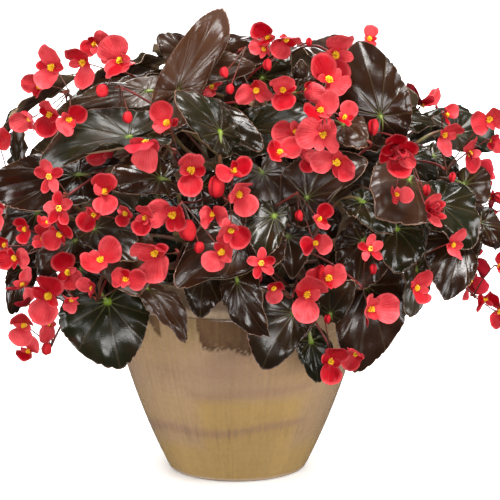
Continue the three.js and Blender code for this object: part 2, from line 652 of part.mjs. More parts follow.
// A spray that finds no way back to a cane is tried again with its blooms a step further along
const SPRAY_TRIES = 6;
SPRAYS.forEach((rows, index) => {
  for (let skip = 0; skip < SPRAY_TRIES; skip++) {
    const blooms = [];
    const taken = [];
    rows.forEach((row, k) => {
      for (const slide of BLOOM_SLIDES.slice(skip)) {
        const found = slideBloom(row, slide, 10 * index + k, taken);
        if (!found) continue;
        blooms.push(found.bloom);
        taken.push(...found.beads);
        return;
      }
    });
    if (blooms.length === rows.length && setSpray(blooms)) return;
  }
});

// The dome seen from all round: a point of it, at a turn round the pot's axis and a slope above level
const DOME_CENTRE = 290;
const DOME_ACROSS = 312;
const DOME_BACK = 284;
const DOME_TOP = 200;
const DOME_SKIRT = 140;
function domePoint(turn, slope, share) {
  const level = Math.cos(slope) * share;
  const rise = Math.sin(slope) * (slope > 0 ? DOME_TOP : DOME_SKIRT) * share;
  return [DOME_ACROSS * level * Math.cos(turn), DOME_BACK * level * Math.sin(turn), DOME_CENTRE + rise];
}

// Turns and slopes spread evenly over the dome, from its skirt to its top
const GOLDEN = Math.PI * (3 - Math.sqrt(5));
const LOWEST_SLOPE = -0.8;
const SHUFFLE = 61; // takes the spots in an order that mixes low ones with high ones
function spot(item, count) {
  const k = (item * SHUFFLE) % count;
  const level = LOWEST_SLOPE + ((1 - LOWEST_SLOPE) * (k + 0.5)) / count;
  return { turn: (k * GOLDEN) % (2 * Math.PI), slope: Math.asin(level) };
}

// Sprays of the sides and back: two blooms and a bud each
const BACK_SPRAYS = 5;
const BACK_SPOTS = 40;
const BACK_DRAWS = 6;
const HINDMOST = 0.12; // spots further forward than this are the front's
const allSprays = sprays.length + BACK_SPRAYS;
for (let k = 0; k < BACK_SPOTS && sprays.length < allSprays; k++) {
  const { turn, slope } = spot(k, BACK_SPOTS);
  if (Math.sin(turn) * Math.cos(slope) < HINDMOST) continue;
  const middle = domePoint(turn, slope, 1.02);
  const facing = unit(sub(middle, [0, 0, DOME_CENTRE - 60]));
  const aside = unit(cross([0, 0, 1], facing));
  const upwards = cross(facing, aside);
  for (let draw = 0; draw < BACK_DRAWS; draw++) {
    const swing = between(0, 360, k + draw * 50, 51) * DEGREE;
    const blooms = [0, 1, 2].map((n) => {
      const item = 3 * k + n;
      const bud = n === 2;
      const way = swing + (n * 2 * Math.PI) / 3;
      const reach = bud ? 30 : 27;
      const at = sum(
        middle,
        mul(aside, reach * Math.cos(way)),
        mul(upwards, reach * Math.sin(way)),
        mul(facing, between(-16, 16, item + draw * 7, 52)),
      );
      const look = unit(add(facing, mul(sub(at, middle), 0.012)));
      const length = bud ? 17 : between(25, 33, item, 53);
      return makeBloom(bud ? "bud" : "pair", at, look, length, between(0, 360, item, 54), item);
    });
    const beads = blooms.map(bloomBeads);
    const apart = beads[0].every((a) => beads[1].every((b) => size(sub(a.at, b.at)) > BLOOMS_APART));
    if (apart && beads.every((set) => clear(set, () => false)) && setSpray(blooms)) break;
  }
}

// Leaves of the sides, back and inside: large ones first, and small ones where there is room left
const ALL_LEAVES = 84;
const LEAF_SPOTS = 150;
const LEAF_DRAWS = 5;
const SHELLS = [
  { share: 0.95, front: 0.7, long: 110 },
  { share: 0.72, front: 0.45, long: 100 },
  { share: 0.97, front: 0.8, long: 74 },
  { share: 0.6, front: 0.3, long: 74 },
];
for (const { share, front, long } of SHELLS)
  for (let k = 0; k < LEAF_SPOTS && leaves.length < ALL_LEAVES; k++) {
    const { turn, slope } = spot(k, LEAF_SPOTS);
    const facesEye = Math.max(0, -Math.sin(turn) * Math.cos(slope));
    const reach = share + (front - share) * Math.min(1, 1.6 * facesEye);
    for (let draw = 0; draw < LEAF_DRAWS; draw++) {
      const item = k + draw * LEAF_SPOTS + long;
      const tip = domePoint(turn, slope, reach * between(0.94, 1.03, item, 61));
      const out = unit([tip[0], tip[1] * 1.2, (tip[2] - DOME_CENTRE) * 1.4]);
      const round = unit(cross([0, 0, 1], out));
      const downhill = cross(round, out);
      const swing = between(-50, 50, item, 62) * DEGREE;
      const along = add(mul(downhill, -Math.cos(swing)), mul(round, Math.sin(swing)));
      const length = long * between(0.85, 1.15, item, 63);
      const foot = sum(tip, mul(along, length), mul(out, -length * between(0.16, 0.4, item, 64)));
      const facing = unit(add(out, [0, 0, 0.9]));
      const width = length * between(0.8, 0.98, item, 65);
      const wider = chance(item, 66) > 0.5 ? 1 : -1;
      const roll = between(-16, 16, item, 67);
      if (setLeaf(makeLeaf(foot, tip, width, facing, roll, wider, 100 + item, false))) break;
    }
  }

// A closed solid from a geometry whose corners are shared or doubled, with its faces turned outwards
function solid(geometry) {
  const bare = new THREE.BufferGeometry().setAttribute("position", geometry.getAttribute("position"));
  if (geometry.index) bare.setIndex(geometry.index);
  const merged = mergeVertices(bare, 1e-4);
  const triVerts = new Uint32Array(merged.index.array);
  const vertProperties = new Float32Array(merged.attributes.position.array);
  const made = new wasm.Manifold(new wasm.Mesh({ numProp: 3, vertProperties, triVerts }));
  if (made.volume() > 0) return made;
  for (let i = 0; i < triVerts.length; i += 3) triVerts.subarray(i, i + 3).reverse();
  return new wasm.Manifold(new wasm.Mesh({ numProp: 3, vertProperties, triVerts }));
}
const join = (solids) => solids.reduce((whole, one) => whole.add(one));

function geometryOf(made) {
  const mesh = made.getMesh();
  const geometry = new THREE.BufferGeometry();
  geometry.setAttribute("position", new THREE.BufferAttribute(mesh.vertProperties, 3));
  geometry.setIndex(new THREE.BufferAttribute(mesh.triVerts, 1));
  const faceted = geometry.toNonIndexed();
  faceted.computeVertexNormals();
  return faceted;
}

function meshSolid(points, index) {
  const geometry = new THREE.BufferGeometry();
  geometry.setAttribute("position", new THREE.Float32BufferAttribute(points.flat(), 3));
  geometry.setIndex(index.flat());
  return solid(geometry);
}

// A thin plate: the same faces over and under, and a wall along its rim
function plate(count, faces, rim) {
  const index = faces.flatMap(([a, b, c]) => [[a, b, c], [count + c, count + b, count + a]]);
  rim.forEach(([a, b]) => index.push([b, a, count + a], [b, count + a, count + b]));
  return index;
}

// A sleeve of faces from one ring of corners to the next, and on to a cap
function sleeve(rings) {
  const index = [];
  rings.slice(1).forEach((to, n) => {
    const from = rings[n];
    from.forEach((a, i) => {
      const j = (i + 1) % from.length;
      index.push([from[j], a, to[i]], [from[j], to[i], to[j]]);
    });
  });
  const cap = rings[rings.length - 1];
  for (let i = 1; i + 1 < cap.length; i++) index.push([cap[0], cap[i + 1], cap[i]]);
  return index;
}

// A cane, or with more room the space that a spray's foot keeps round it
function caneSolid(cane, more = 0) {
  const all = [];
  const route = [cane.root, ...cane.route];
  const rings = route.map((at, n) => {
    const way = unit(sub(route[Math.min(n + 1, route.length - 1)], route[Math.max(0, n - 1)]));
    const u = unit(cross(way, [0.6, 0.8, 0]));
    const v = cross(way, u);
    const radius = caneRadius(Math.max(0, n - 1) / CANE_STEPS) + more;
    return Array.from({ length: CANE_SIDES }, (_, k) => {
      const turn = (2 * Math.PI * k) / CANE_SIDES;
      all.push(sum(at, mul(u, radius * Math.cos(turn)), mul(v, radius * Math.sin(turn))));
      return all.length - 1;
    });
  });
  const foot = [];
  for (let i = 1; i + 1 < CANE_SIDES; i++) foot.push([rings[0][0], rings[0][i], rings[0][i + 1]]);
  return meshSolid(all, [...foot, ...sleeve(rings)]);
}

// A leaf: its waved outline, its midrib and triangles between them, and the stalk that it grows from
const STALK_TURNS = [0.5, 0];
function leafSolid(leaf) {
  const points = bladeCorners(leaf);
  const faces = bladeFaces(leaf.fine);
  const other = otherEdge(leaf.fine);
  const edge = Array.from({ length: other - FIRST_EDGE }, (_, n) => n);
  const back = edge.map((n) => 2 * other - FIRST_EDGE - 1 - n);
  const loop = [1, ...back, TIP, ...edge.map((n) => FIRST_EDGE + n), 0];
  const rim = loop.slice(1).map((corner, n) => [loop[n], corner]);
  const lift = mul(leaf.out, BLADE_THICKNESS / 2);
  const over = points.map((p) => add(p, lift));
  const under = points.map((p) => sub(p, lift));
  const all = [...over, ...under];
  const count = points.length;
  const rings = [[0, 1, count + 1, count]];
  const { start, knee } = leaf.stalk;
  for (const t of STALK_TURNS) {
    const at = bend(start, knee, leaf.foot, t);
    const way = unit(sub(bend(start, knee, leaf.foot, t + 0.05), at));
    const a = mul(unit(sub(leaf.across, mul(way, dot(way, leaf.across)))), LEAF_STALK_RADIUS);
    const b = mul(unit(cross(way, a)), LEAF_STALK_RADIUS);
    rings.push([0, 1, 2, 3].map((n) => all.length + n));
    all.push(sum(at, a, b), add(sub(at, a), b), sub(sub(at, a), b), sub(add(at, a), b));
  }
  return meshSolid(all, [...plate(count, faces, rim), ...sleeve(rings)]);
}

// The rings of a stalk that runs from behind a bloom through these points, with a radius at each
function stalkRings(bloom, route, angles, all) {
  let u = bloom.first;
  return route.map(({ at, radius }, n) => {
    const from = route[Math.max(0, n - 1)].at;
    const to = route[Math.min(route.length - 1, n + 1)].at;
    const way = unit(sub(from, to));
    u = unit(sub(u, mul(way, dot(way, u))));
    const v = cross(u, way);
    return angles.map((angle) => {
      const turn = angle * DEGREE;
      all.push(sum(at, mul(u, radius * Math.cos(turn)), mul(v, radius * Math.sin(turn))));
      return all.length - 1;
    });
  });
}

// A bud: a flattened drop on its stalk
function budSolid(bud, route) {
  const angles = [0, 90, 180, 270];
  const all = [add(bud.middle, mul(bud.facing, 0.3 * bud.length))];
  const rim = angles.map((angle) => {
    const reach = (angle % 180 ? 0.42 : 0.5) * bud.length;
    all.push(bloomPoint({ ...bud, cup: 0 }, angle, reach, 0));
    return all.length - 1;
  });
  const front = rim.map((corner, i) => [0, rim[(i + 3) % 4], corner]);
  return meshSolid(all, [...front, ...sleeve([rim, ...stalkRings(bud, route, angles, all)])]);
}

// The outer corners of a petal, as shares of its length and width
function petalEdge(wide, length) {
  if (wide < 0.5) return [[1, 0]];
  if (wide < BROAD) return [[0.76, -0.44], [0.76, 0.44]];
  if (length < SMALL_BLOOM) return [[0.6, -0.5], [1, 0], [0.6, 0.5]];
  return [[0.5, -0.5], [0.93, -0.27], [0.93, 0.27], [0.5, 0.5]];
}

const ROUND_PETAL = [[0, 1, 4], [0, 4, 5], [1, 2, 3], [1, 3, 4]]; // its triangles, round its loop of corners

// A bloom: a star of petals round a raised tuft, on the stalk that it hangs from
function bloomSolid(bloom, route) {
  const petals = PETALS[bloom.kind];
  const points = [add(bloom.middle, mul(bloom.facing, 0.17 * bloom.length))];
  const faces = [];
  const rim = [];
  const nextAngle = (i) => (i + 1 < petals.length ? petals[i + 1][0] : 360);
  const middles = petals.map(([angle], i) => (angle + nextAngle(i)) / 2);
  const corners = middles.map((angle, i) => {
    points.push(bloomPoint(bloom, angle, 0.2 * bloom.length, 0));
    return i + 1;
  });
  petals.forEach(([angle, long, wide], i) => {
    const before = corners[(i + corners.length - 1) % corners.length];
    const edge = petalEdge(wide, bloom.length);
    const first = points.length;
    for (const [out, aside] of edge)
      points.push(bloomPoint(bloom, angle, out * long * bloom.length, aside * wide * bloom.length));
    const loop = [before, ...edge.map((_, n) => first + n), corners[i]];
    if (edge.length === 4)
      for (const [a, b, c] of ROUND_PETAL) faces.push([loop[a], loop[b], loop[c]]);
    else for (let n = 1; n + 1 < loop.length; n++) faces.push([loop[0], loop[n], loop[n + 1]]);
    rim.push(...loop.slice(0, -1).map((a, n) => [a, loop[n + 1]]));
  });
  const count = points.length;
  const under = points.map((p) => add(p, mul(bloom.facing, -PETAL_THICKNESS)));
  const all = [...points, ...under];
  const tuft = corners.map((corner, i) => [0, corners[(i + corners.length - 1) % corners.length], corner]);
  const rings = [corners.map((corner) => count + corner), ...stalkRings(bloom, route, middles, all)];
  return meshSolid(all, [...plate(count, faces, rim), ...tuft, ...sleeve(rings)]);
}

// A spray: its first bloom's stalk runs on past the fork to the cane, and the others start in the fork
function spraySolid({ blooms, stem, twigs, cane }) {
  const fork = stem.end;
  const down = [
    { at: fork, radius: FORK_RADIUS },
    { at: bend(stem.start, stem.knee, fork, 0.5), radius: SPRAY_STALK_RADIUS },
    { at: stem.start, radius: SPRAY_STALK_RADIUS },
  ];
  const solids = blooms.map((bloom, n) => {
    const route = [
      { at: twigs[n].end, radius: BLOOM_STALK_RADIUS },
      ...(n ? [{ at: fork, radius: BLOOM_STALK_RADIUS }] : down),
    ];
    return (bloom.kind === "bud" ? budSolid : bloomSolid)(bloom, route);
  });
  return join(solids).subtract(caneSolid(canes[cane], GAP));
}

// The pot's wall inside, clear of its rim
const innerRadius = (height) => Math.min(MOUTH_RADIUS, wallRadius(height) - WALL);
const POT_HEIGHTS = [70, 145, BAND_BOTTOM];
const INNER_HEIGHTS = [205];

function turned(profile) {
  const points = profile.map(([radius, height]) => new THREE.Vector2(radius, height));
  return solid(new THREE.LatheGeometry(points, POT_SIDES).rotateX(Math.PI / 2));
}

const upright = (radius, height, sides) =>
  new THREE.CylinderGeometry(radius, radius, height, sides).rotateX(Math.PI / 2);

function potSolid() {
  const shell = turned([
    [0, 0],
    [FOOT_RADIUS - FOOT_EDGE, 0],
    [FOOT_RADIUS + 1, FOOT_EDGE],
    ...POT_HEIGHTS.map((height) => [wallRadius(height), height]),
    [RIM_RADIUS - 3, BAND_BOTTOM],
    [RIM_RADIUS, BAND_BOTTOM + BAND_ROLL],
    [RIM_RADIUS, RIM_TOP - RIM_ROUND],
    [RIM_RADIUS - RIM_ROUND, RIM_TOP],
    [MOUTH_RADIUS, RIM_TOP],
    ...INNER_HEIGHTS.map((height) => [innerRadius(height), height]),
    [innerRadius(FLOOR_THICKNESS), FLOOR_THICKNESS],
    [0, FLOOR_THICKNESS],
  ]);
  const drain = upright(DRAIN_RADIUS, 3 * FLOOR_THICKNESS, DRAIN_SIDES);
  let pot = shell;
  for (let k = 0; k < DRAIN_COUNT; k++) {
    const turn = (2 * Math.PI * (k + 0.5)) / DRAIN_COUNT;
    const at = [DRAIN_RING * Math.cos(turn), DRAIN_RING * Math.sin(turn), 0];
    pot = pot.subtract(solid(drain.clone().translate(...at)));
  }
  return pot;
}

// The soil fills the pot a gap away from its wall and floor, with a plain hole for each cane
function soilSolid() {
  const edge = (height) => innerRadius(height) - 1.5 * GAP;
  let soil = turned([
    [0, FLOOR_THICKNESS + GAP],
    [edge(FLOOR_THICKNESS), FLOOR_THICKNESS + GAP],
    ...[...INNER_HEIGHTS].reverse().map((height) => [edge(height), height]),
    [edge(SOIL_TOP), SOIL_TOP],
    [0, SOIL_TOP + SOIL_HEAP],
  ]);
  const depth = CANE_DEPTH + GAP;
  const hole = upright(HOLE_RADIUS, 2 * depth, CANE_SIDES);
  for (const cane of canes) soil = soil.subtract(solid(hole.clone().translate(...cane.ground)));
  return soil;
}

const GLAZE = { color: 0xa08466, roughness: 0.25, metalness: 0 };
const SOIL = { color: 0x2e2119, roughness: 0.95, metalness: 0 };
const LEAF = { color: 0x2a211b, roughness: 0.28, metalness: 0 };
const PETAL = { color: 0xd92b38, roughness: 0.5, metalness: 0 };

const begonia = new THREE.Group();
function place(name, made, finish) {
  const mesh = new THREE.Mesh(geometryOf(made), new THREE.MeshStandardMaterial(finish));
  mesh.name = name;
  begonia.add(mesh);
}
const two = (k) => String(k + 1).padStart(2, "0");

place("pot", potSolid(), GLAZE);
place("soil", soilSolid(), SOIL);
canes.forEach((cane, index) => {
  const carried = leaves.filter((leaf) => leaf.cane === index).map(leafSolid);
  place(`leafy_stem_${two(index)}`, join([caneSolid(cane), ...carried]), LEAF);
});
sprays.forEach((spray, index) => place(`spray_${two(index)}`, spraySolid(spray), PETAL));

export default begonia;
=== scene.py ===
# The looks of the potted begonia: fine leaves, blooms, stalks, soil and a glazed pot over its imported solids.
import itertools
import math

import bpy
import numpy as np
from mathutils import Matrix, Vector


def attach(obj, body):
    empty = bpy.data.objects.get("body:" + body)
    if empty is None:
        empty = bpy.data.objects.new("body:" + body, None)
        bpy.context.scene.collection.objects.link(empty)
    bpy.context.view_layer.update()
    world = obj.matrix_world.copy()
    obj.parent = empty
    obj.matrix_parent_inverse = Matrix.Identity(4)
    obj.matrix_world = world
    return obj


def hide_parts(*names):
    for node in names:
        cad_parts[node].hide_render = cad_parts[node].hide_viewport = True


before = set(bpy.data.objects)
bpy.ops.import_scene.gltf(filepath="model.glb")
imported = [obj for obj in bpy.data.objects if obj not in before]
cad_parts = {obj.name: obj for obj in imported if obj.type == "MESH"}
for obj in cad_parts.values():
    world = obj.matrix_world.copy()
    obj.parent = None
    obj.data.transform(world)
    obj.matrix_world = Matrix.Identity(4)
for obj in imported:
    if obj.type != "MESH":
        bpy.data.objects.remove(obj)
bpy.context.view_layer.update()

# Leaves seen from the front: the foot's place across and up, the tip's, the width, the layer, how far the
# blade is rolled round its length, and which half is the wider one
LEAVES = [
    (112, 183, 136, 221, 38, 0, 0, 1),
    (68, 184, 29, 117, 66, 0, -10, -1),
    (155, 216, 140, 113, 78, 0, 0, 1),
    (0, 222, 35, 155, 46, 0, -28, -1),
    (-108, 213, -60, 152, 34, 0, 30, 1),
    (-155, 197, -140, 117, 92, 0, 6, -1),
    (10, 275, -74, 211, 84, 0, 0, 1),
    (-60, 415, 35, 376, 56, 1, 14, 1),
    (60, 275, 67, 231, 43, 0, 0, 1),
    (45, 300, 30, 247, 46, 0, -8, -1),
    (84, 322, 155, 367, 70, 0, 10, 1),
    (88, 150, 98, 100, 36, 1, 0, 1),
    (150, 318, 187, 279, 42, 0, 10, -1),
    (206, 343, 168, 300, 86, 0, 0, 1),
    (241, 315, 283, 262, 64, 0, 12, 1),
    (270, 272, 247, 198, 64, 0, -8, -1),
    (272, 338, 301, 318, 44, 0, -20, 1),
    (-92, 345, -157, 330, 58, 0, -10, -1),
    (-172, 285, -122, 245, 55, 0, 10, 1),
    (-20, 401, -76, 449, 47, 0, -10, 1),
    (15, 404, 98, 424, 50, 0, 0, -1),
    (0, 428, 5, 474, 28, 0, 25, 1),
    (172, 420, 146, 511, 78, 0, 14, 1),
    (-72, 450, -17, 551, 54, 0, -12, -1),
    (-108, 450, -218, 418, 50, 0, -14, 1),
    (-130, 395, -238, 360, 66, 0, -8, -1),
    (-192, 350, -295, 330, 60, 0, 10, 1),
    (128, 410, 155, 386, 38, 1, 0, -1),
    (178, 412, 238, 412, 32, 1, 20, 1),
    (232, 410, 284, 419, 32, 1, 0, -1),
    (262, 400, 315, 386, 42, 1, -10, 1),
    (30, 352, 48, 298, 66, 1, 0, -1),
    (190, 285, 188, 232, 60, 1, 0, 1),
    (215, 235, 205, 178, 34, 1, 20, -1),
    (-40, 232, -45, 178, 46, 1, 0, 1),
    (-240, 305, -280, 250, 50, 1, 10, 1),
    (-195, 270, -240, 228, 46, 1, 0, -1),
    (-258, 238, -272, 182, 30, 1, 15, 1),
    (-262, 360, -262, 407, 30, 1, 20, -1),
    (-55, 470, 20, 480, 38, 1, 0, 1),
    (70, 448, 104, 460, 30, 1, 0, -1),
    (290, 292, 318, 262, 38, 1, 0, 1),
    (-40, 480, 45, 500, 50, 2, 0, 1),
    (72, 452, 76, 486, 26, 2, 0, -1),
    (-65, 492, -96, 516, 40, 3, 0, 1),
    (225, 300, 222, 208, 54, 2, 0, -1),
    (150, 270, 142, 212, 60, 2, 0, 1),
    (-128, 262, -120, 204, 60, 2, 0, -1),
    (-188, 236, -194, 186, 50, 2, 0, 1),
]

# Sprays seen from the front: for each bloom or bud its kind, its middle's place across and up, the length
# of its large petals, how far the pair is turned from upright, and its layer
SPRAYS = [
    [["pair", 14, 220, 19, 40, 0], ["pair", 43, 214, 20, 0, 0], ["star", 28, 243, 19, 0, 0]],
    [["pair", 83, 206, 34, 10, 0], ["bud", 99, 233, 18, 0, 0]],
    [["pair", 159, 188, 34, 95, 0], ["star", 158, 260, 18, 0, 0], ["bud", 163, 236, 14, 0, 0]],
    [["pair", 143, 135, 24, 30, 0], ["pair", 112, 126, 27, 12, 0], ["bud", 108, 176, 12, 0, 0]],
    [["pair", -153, 377, 29, 60, 1], ["bud", -132, 418, 15, 0, 0]],
    [["pair", 71, 401, 28, 90, 0], ["pair", 51, 376, 25, 70, 0], ["pair", 84, 372, 19, 0, 1]],
    [["pair", -98, 256, 37, -10, 0], ["bud", -60, 282, 27, 0, 0]],
    [["pair", -19, 256, 29, 50, 0], ["bud", -46, 262, 15, 0, 0], ["bud", -38, 231, 14, 0, 0]],
    [["pair", -8, 284, 27, -60, 0], ["bud", -25, 334, 28, 0, 0], ["pair", 2, 326, 29, 140, 0]],
    [["pair", -78, 302, 33, 90, 0], ["pair", -110, 299, 22, 20, 0]],
    [["pair", 93, 267, 23, 90, 0], ["pair", 98, 297, 22, 20, 0], ["bud", 74, 300, 14, 0, 0]],
    [["pair", 191, 326, 21, 90, 0], ["bud", 227, 330, 15, 0, 0], ["double", 231, 306, 22, 0, 0]],
    [["pair", 257, 266, 23, 0, 0], ["pair", 214, 214, 25, 12, 0]],
    [["pair", 296, 202, 24, 60, 0], ["pair", 312, 186, 23, 0, 0], ["pair", 312, 240, 22, 20, 0]],
    [["pair", -164, 247, 32, 52, 0], ["pair", -134, 224, 27, 90, 0], ["pair", -173, 213, 20, 100, 0]],
    [["pair", -226, 204, 35, 20, 0], ["pair", -199, 201, 19, 20, 0], ["pair", -256, 216, 23, 0, 0]],
    [["pair", -255, 168, 27, 10, 0], ["pair", -250, 138, 22, 40, 0], ["bud", -229, 140, 16, 0, 0],
        ["pair", -224, 172, 24, 0, 1]],
    [["pair", -212, 279, 26, 60, 0], ["pair", -232, 273, 21, 0, 0], ["pair", -226, 292, 19, 40, 0],
        ["pair", -266, 250, 25, 90, 0], ["pair", -254, 284, 19, 0, 1]],
    [["pair", -158, 328, 28, 0, 0], ["pair", -134, 303, 17, 20, 0]],
    [["star", -225, 348, 21, 0, 0], ["star", -212, 309, 22, 0, 0]],
    [["pair", -289, 386, 30, 80, 0], ["pair", -290, 306, 27, 0, 0]],
    [["pair", -108, 389, 35, 0, 0], ["pair", -84, 411, 28, -20, 0], ["pair", -56, 354, 32, 5, 0]],
    [["pair", -222, 478, 31, 5, 0], ["pair", -225, 422, 29, 30, 0], ["pair", -202, 416, 26, 52, 0]],
    [["pair", -184, 484, 31, 0, 0], ["pair", -171, 507, 22, 75, 0], ["pair", -140, 486, 36, -20, 0],
        ["bud", -162, 450, 17, 0, 0]],
    [["pair", 58, 513, 26, 20, 0], ["pair", 38, 514, 24, -30, 0], ["bud", 86, 508, 12, 0, 0],
        ["bud", 36, 481, 15, 0, 0]],
    [["bud", -16, 472, 14, 0, 0], ["bud", -9, 452, 13, 0, 0], ["pair", -30, 455, 18, 30, 1]],
    [["pair", 22, 452, 27, 60, 0], ["pair", 55, 451, 27, 0, 0]],
    [["pair", 117, 494, 36, 12, 0], ["pair", 110, 462, 33, -39, 0], ["pair", 158, 512, 17, 0, 2]],
    [["pair", 99, 426, 27, 61, 0], ["pair", 103, 399, 36, 100, 0], ["pair", 128, 418, 20, 20, 0]],
    [["double", 190, 377, 34, 0, 0], ["bud", 163, 406, 21, 0, 0]],
    [["pair", 247, 398, 27, 10, 0], ["pair", 277, 375, 25, -20, 0], ["pair", 302, 416, 27, 80, 0],
        ["bud", 258, 346, 13, 0, 0]],
]

# ---- Layout, in millimetres: the same rule that the frame's solids were laid out by ----

DEGREE = math.pi / 180

# Pot and soil
FOOT_RADIUS = 82
POT_FLARE = 0.5
POT_BOW = 0.00074
BAND_BOTTOM = 217
RIM_TOP = 254
RIM_RADIUS = 161
MOUTH_RADIUS = 143
SOIL_TOP = 226
SOIL_HEAP = 6

# Canes
CANE_RADIUS = 5
CANE_TAPER = 0.34
CANE_STEPS = 3
CANE_FOOT = 4

# Leaves and blooms
LOPSIDED = 0.14
LEAF_STALK_RADIUS = 2.3
SPRAY_STALK_RADIUS = 1.7
BLOOM_STALK_RADIUS = 1.2

# The eye that the front of the plant was laid out for
EYE_TILT = 12.5 * DEGREE
EYE_DISTANCE = 4300
AIM = (15.2, 0, 265.5)

# The dome that the foliage fills, as the eye sees it
DOME_MIDDLE = 250
DOME_HALF = 340
DOME_RISE = 330
DOME_DEPTH = 235
DOME_EDGE = 0.04  # the least that is left of its depth, squared, for places outside its outline too
LAYER = 18  # how far a leaf's layer stands behind the one before it
FOOT_BEHIND = 30


# Plain vectors, in doubles
def add(a, b):
    return (a[0] + b[0], a[1] + b[1], a[2] + b[2])


def sub(a, b):
    return (a[0] - b[0], a[1] - b[1], a[2] - b[2])


def mul(a, k):
    return (a[0] * k, a[1] * k, a[2] * k)


def dot(a, b):
    return a[0] * b[0] + a[1] * b[1] + a[2] * b[2]


def size(a):
    return math.sqrt(dot(a, a))


def unit(a):
    return mul(a, 1 / size(a))


def mix(a, b, t):
    return add(mul(a, 1 - t), mul(b, t))


def total(*parts):
    whole = parts[0]
    for part in parts[1:]:
        whole = add(whole, part)
    return whole


def cross(a, b):
    return (a[1] * b[2] - a[2] * b[1], a[2] * b[0] - a[0] * b[2], a[0] * b[1] - a[1] * b[0])


def turned(first, second, turn):
    """Two ways at right angles to each other, turned round by so many radians."""
    c, s = math.cos(turn), math.sin(turn)
    return add(mul(first, c), mul(second, s)), sub(mul(second, c), mul(first, s))


def bend(a, b, c, t):
    """The point at t along the bend from a past b to c."""
    return total(mul(a, (1 - t) * (1 - t)), mul(b, 2 * t * (1 - t)), mul(c, t * t))


def chance(k, salt):
    """A fixed draw between 0 and 1 for item k of the list that the salt stands for."""
    drawn = math.sin(k * 127.1 + salt * 311.7) * 43758.5453
    return drawn - math.floor(drawn)


def between(low, high, k, salt):
    return low + (high - low) * chance(k, salt)


def stray(k, salt):
    """A fixed draw between -1 and 1."""
    return 2 * chance(k, salt) - 1


TO_EYE = (0, -math.cos(EYE_TILT), math.sin(EYE_TILT))
EYE_UP = (0, math.sin(EYE_TILT), math.cos(EYE_TILT))


def seen(across, up, back):
    """The point that the eye sees at a place across and up, at a depth behind the pot's axis."""
    right = across - AIM[0]
    above = up - AIM[2] * math.cos(EYE_TILT)
    reach = EYE_DISTANCE * math.cos(EYE_TILT)
    share = (back + reach) / (reach + above * math.sin(EYE_TILT))
    eye = add(AIM, mul(TO_EYE, EYE_DISTANCE))
    ray = total(mul(TO_EYE, -EYE_DISTANCE), (right, 0, 0), mul(EYE_UP, above))
    return add(eye, mul(ray, share))


def front_of_dome(across, up):
    """How far behind the pot's axis the dome's near side stands (below nought: in front of it)."""
    left = 1 - (across / DOME_HALF) ** 2 - ((up - DOME_MIDDLE) / DOME_RISE) ** 2
    return -DOME_DEPTH * math.sqrt(max(DOME_EDGE, left))


# Room: spaced points on every blade, petal and stalk, as (point, room) pairs
CELL = 13
POT_ROOM = 1.2
cells = {}


def claim(beads, owner):
    for at, room in beads:
        cell = (math.floor(at[0] / CELL), math.floor(at[1] / CELL), math.floor(at[2] / CELL))
        cells.setdefault(cell, []).append((at[0], at[1], at[2], room, owner))


def wall_radius(height):
    return FOOT_RADIUS + POT_FLARE * height - POT_BOW * height * height


def room_from_pot(point):
    out = math.hypot(point[0], point[1])
    height = point[2]
    if height > RIM_TOP:
        if out > RIM_RADIUS:
            return math.hypot(out - RIM_RADIUS, height - RIM_TOP)
        return height - SOIL_TOP - SOIL_HEAP if out < MOUTH_RADIUS else height - RIM_TOP
    outside = RIM_RADIUS if height > BAND_BOTTOM - 2 else wall_radius(height)
    if out > outside:
        return out - outside
    return min(MOUTH_RADIUS - out, height - SOIL_TOP - SOIL_HEAP)


AROUND = list(itertools.product((-1, 0, 1), repeat=3))


def clear(beads, owners=(), near=None, within=0):
    """Whether beads keep clear of the pot and of all that is set, but for some owners' near a point."""
    for at, room in beads:
        if room_from_pot(at) < room + POT_ROOM:
            return False
        x, y, z = at
        i, j, k = math.floor(x / CELL), math.floor(y / CELL), math.floor(z / CELL)
        for di, dj, dk in AROUND:
            for ox, oy, oz, other, owner in cells.get((i + di, j + dj, k + dk), ()):
                dx, dy, dz = x - ox, y - oy, z - oz
                least = room + other
                if dx * dx + dy * dy + dz * dz < least * least:
                    if owner in owners and size(sub(at, near)) < within:
                        continue
                    return False
    return True


# Canes
CANE_UPRIGHT = 0.55
CANE_TURNS = (-7, 7)  # how far a cane strays from its place in the ring, in degrees
CANE_HEIGHTS = (-12, 12)
CANE_RINGS = [
    # count, start, base, reach, top
    (8, 22, 96, 188, 322),
    (5, 40, 58, 118, 405),
    (3, -70, 24, 58, 462),
]


def make_canes():
    made = []
    for ring, (count, start, base, reach, top) in enumerate(CANE_RINGS):
        for k in range(count):
            turn = (start + (360 / count) * k + between(*CANE_TURNS, k, 1 + ring)) * DEGREE
            out = (math.cos(turn), math.sin(turn), 0)
            height = top + between(*CANE_HEIGHTS, k, 11 + ring)
            ground = add(mul(out, base), (0, 0, SOIL_TOP))
            knee = add(mul(out, base), (0, 0, SOIL_TOP + CANE_UPRIGHT * (height - SOIL_TOP)))
            tip = add(mul(out, reach), (0, 0, height))
            route = [add(ground, (0, 0, CANE_FOOT))]
            route += [bend(ground, knee, tip, step / CANE_STEPS) for step in range(1, CANE_STEPS + 1)]
            made.append({"ground": ground, "knee": knee, "tip": tip, "route": route})
    return made


canes = make_canes()


def cane_radius(t):
    return CANE_RADIUS * (1 - CANE_TAPER * t)


def cane_point(cane, t):
    step = min(CANE_STEPS - 1, math.floor(t * CANE_STEPS))
    return mix(cane["route"][step], cane["route"][step + 1], t * CANE_STEPS - step)


CANE_BEADS = 28
CANE_ROOM = 1
for index, cane in enumerate(canes):
    spaced = [k / CANE_BEADS for k in range(CANE_BEADS + 1)]
    claim([(cane_point(cane, t), cane_radius(t) + CANE_ROOM) for t in spaced], ("cane", index))

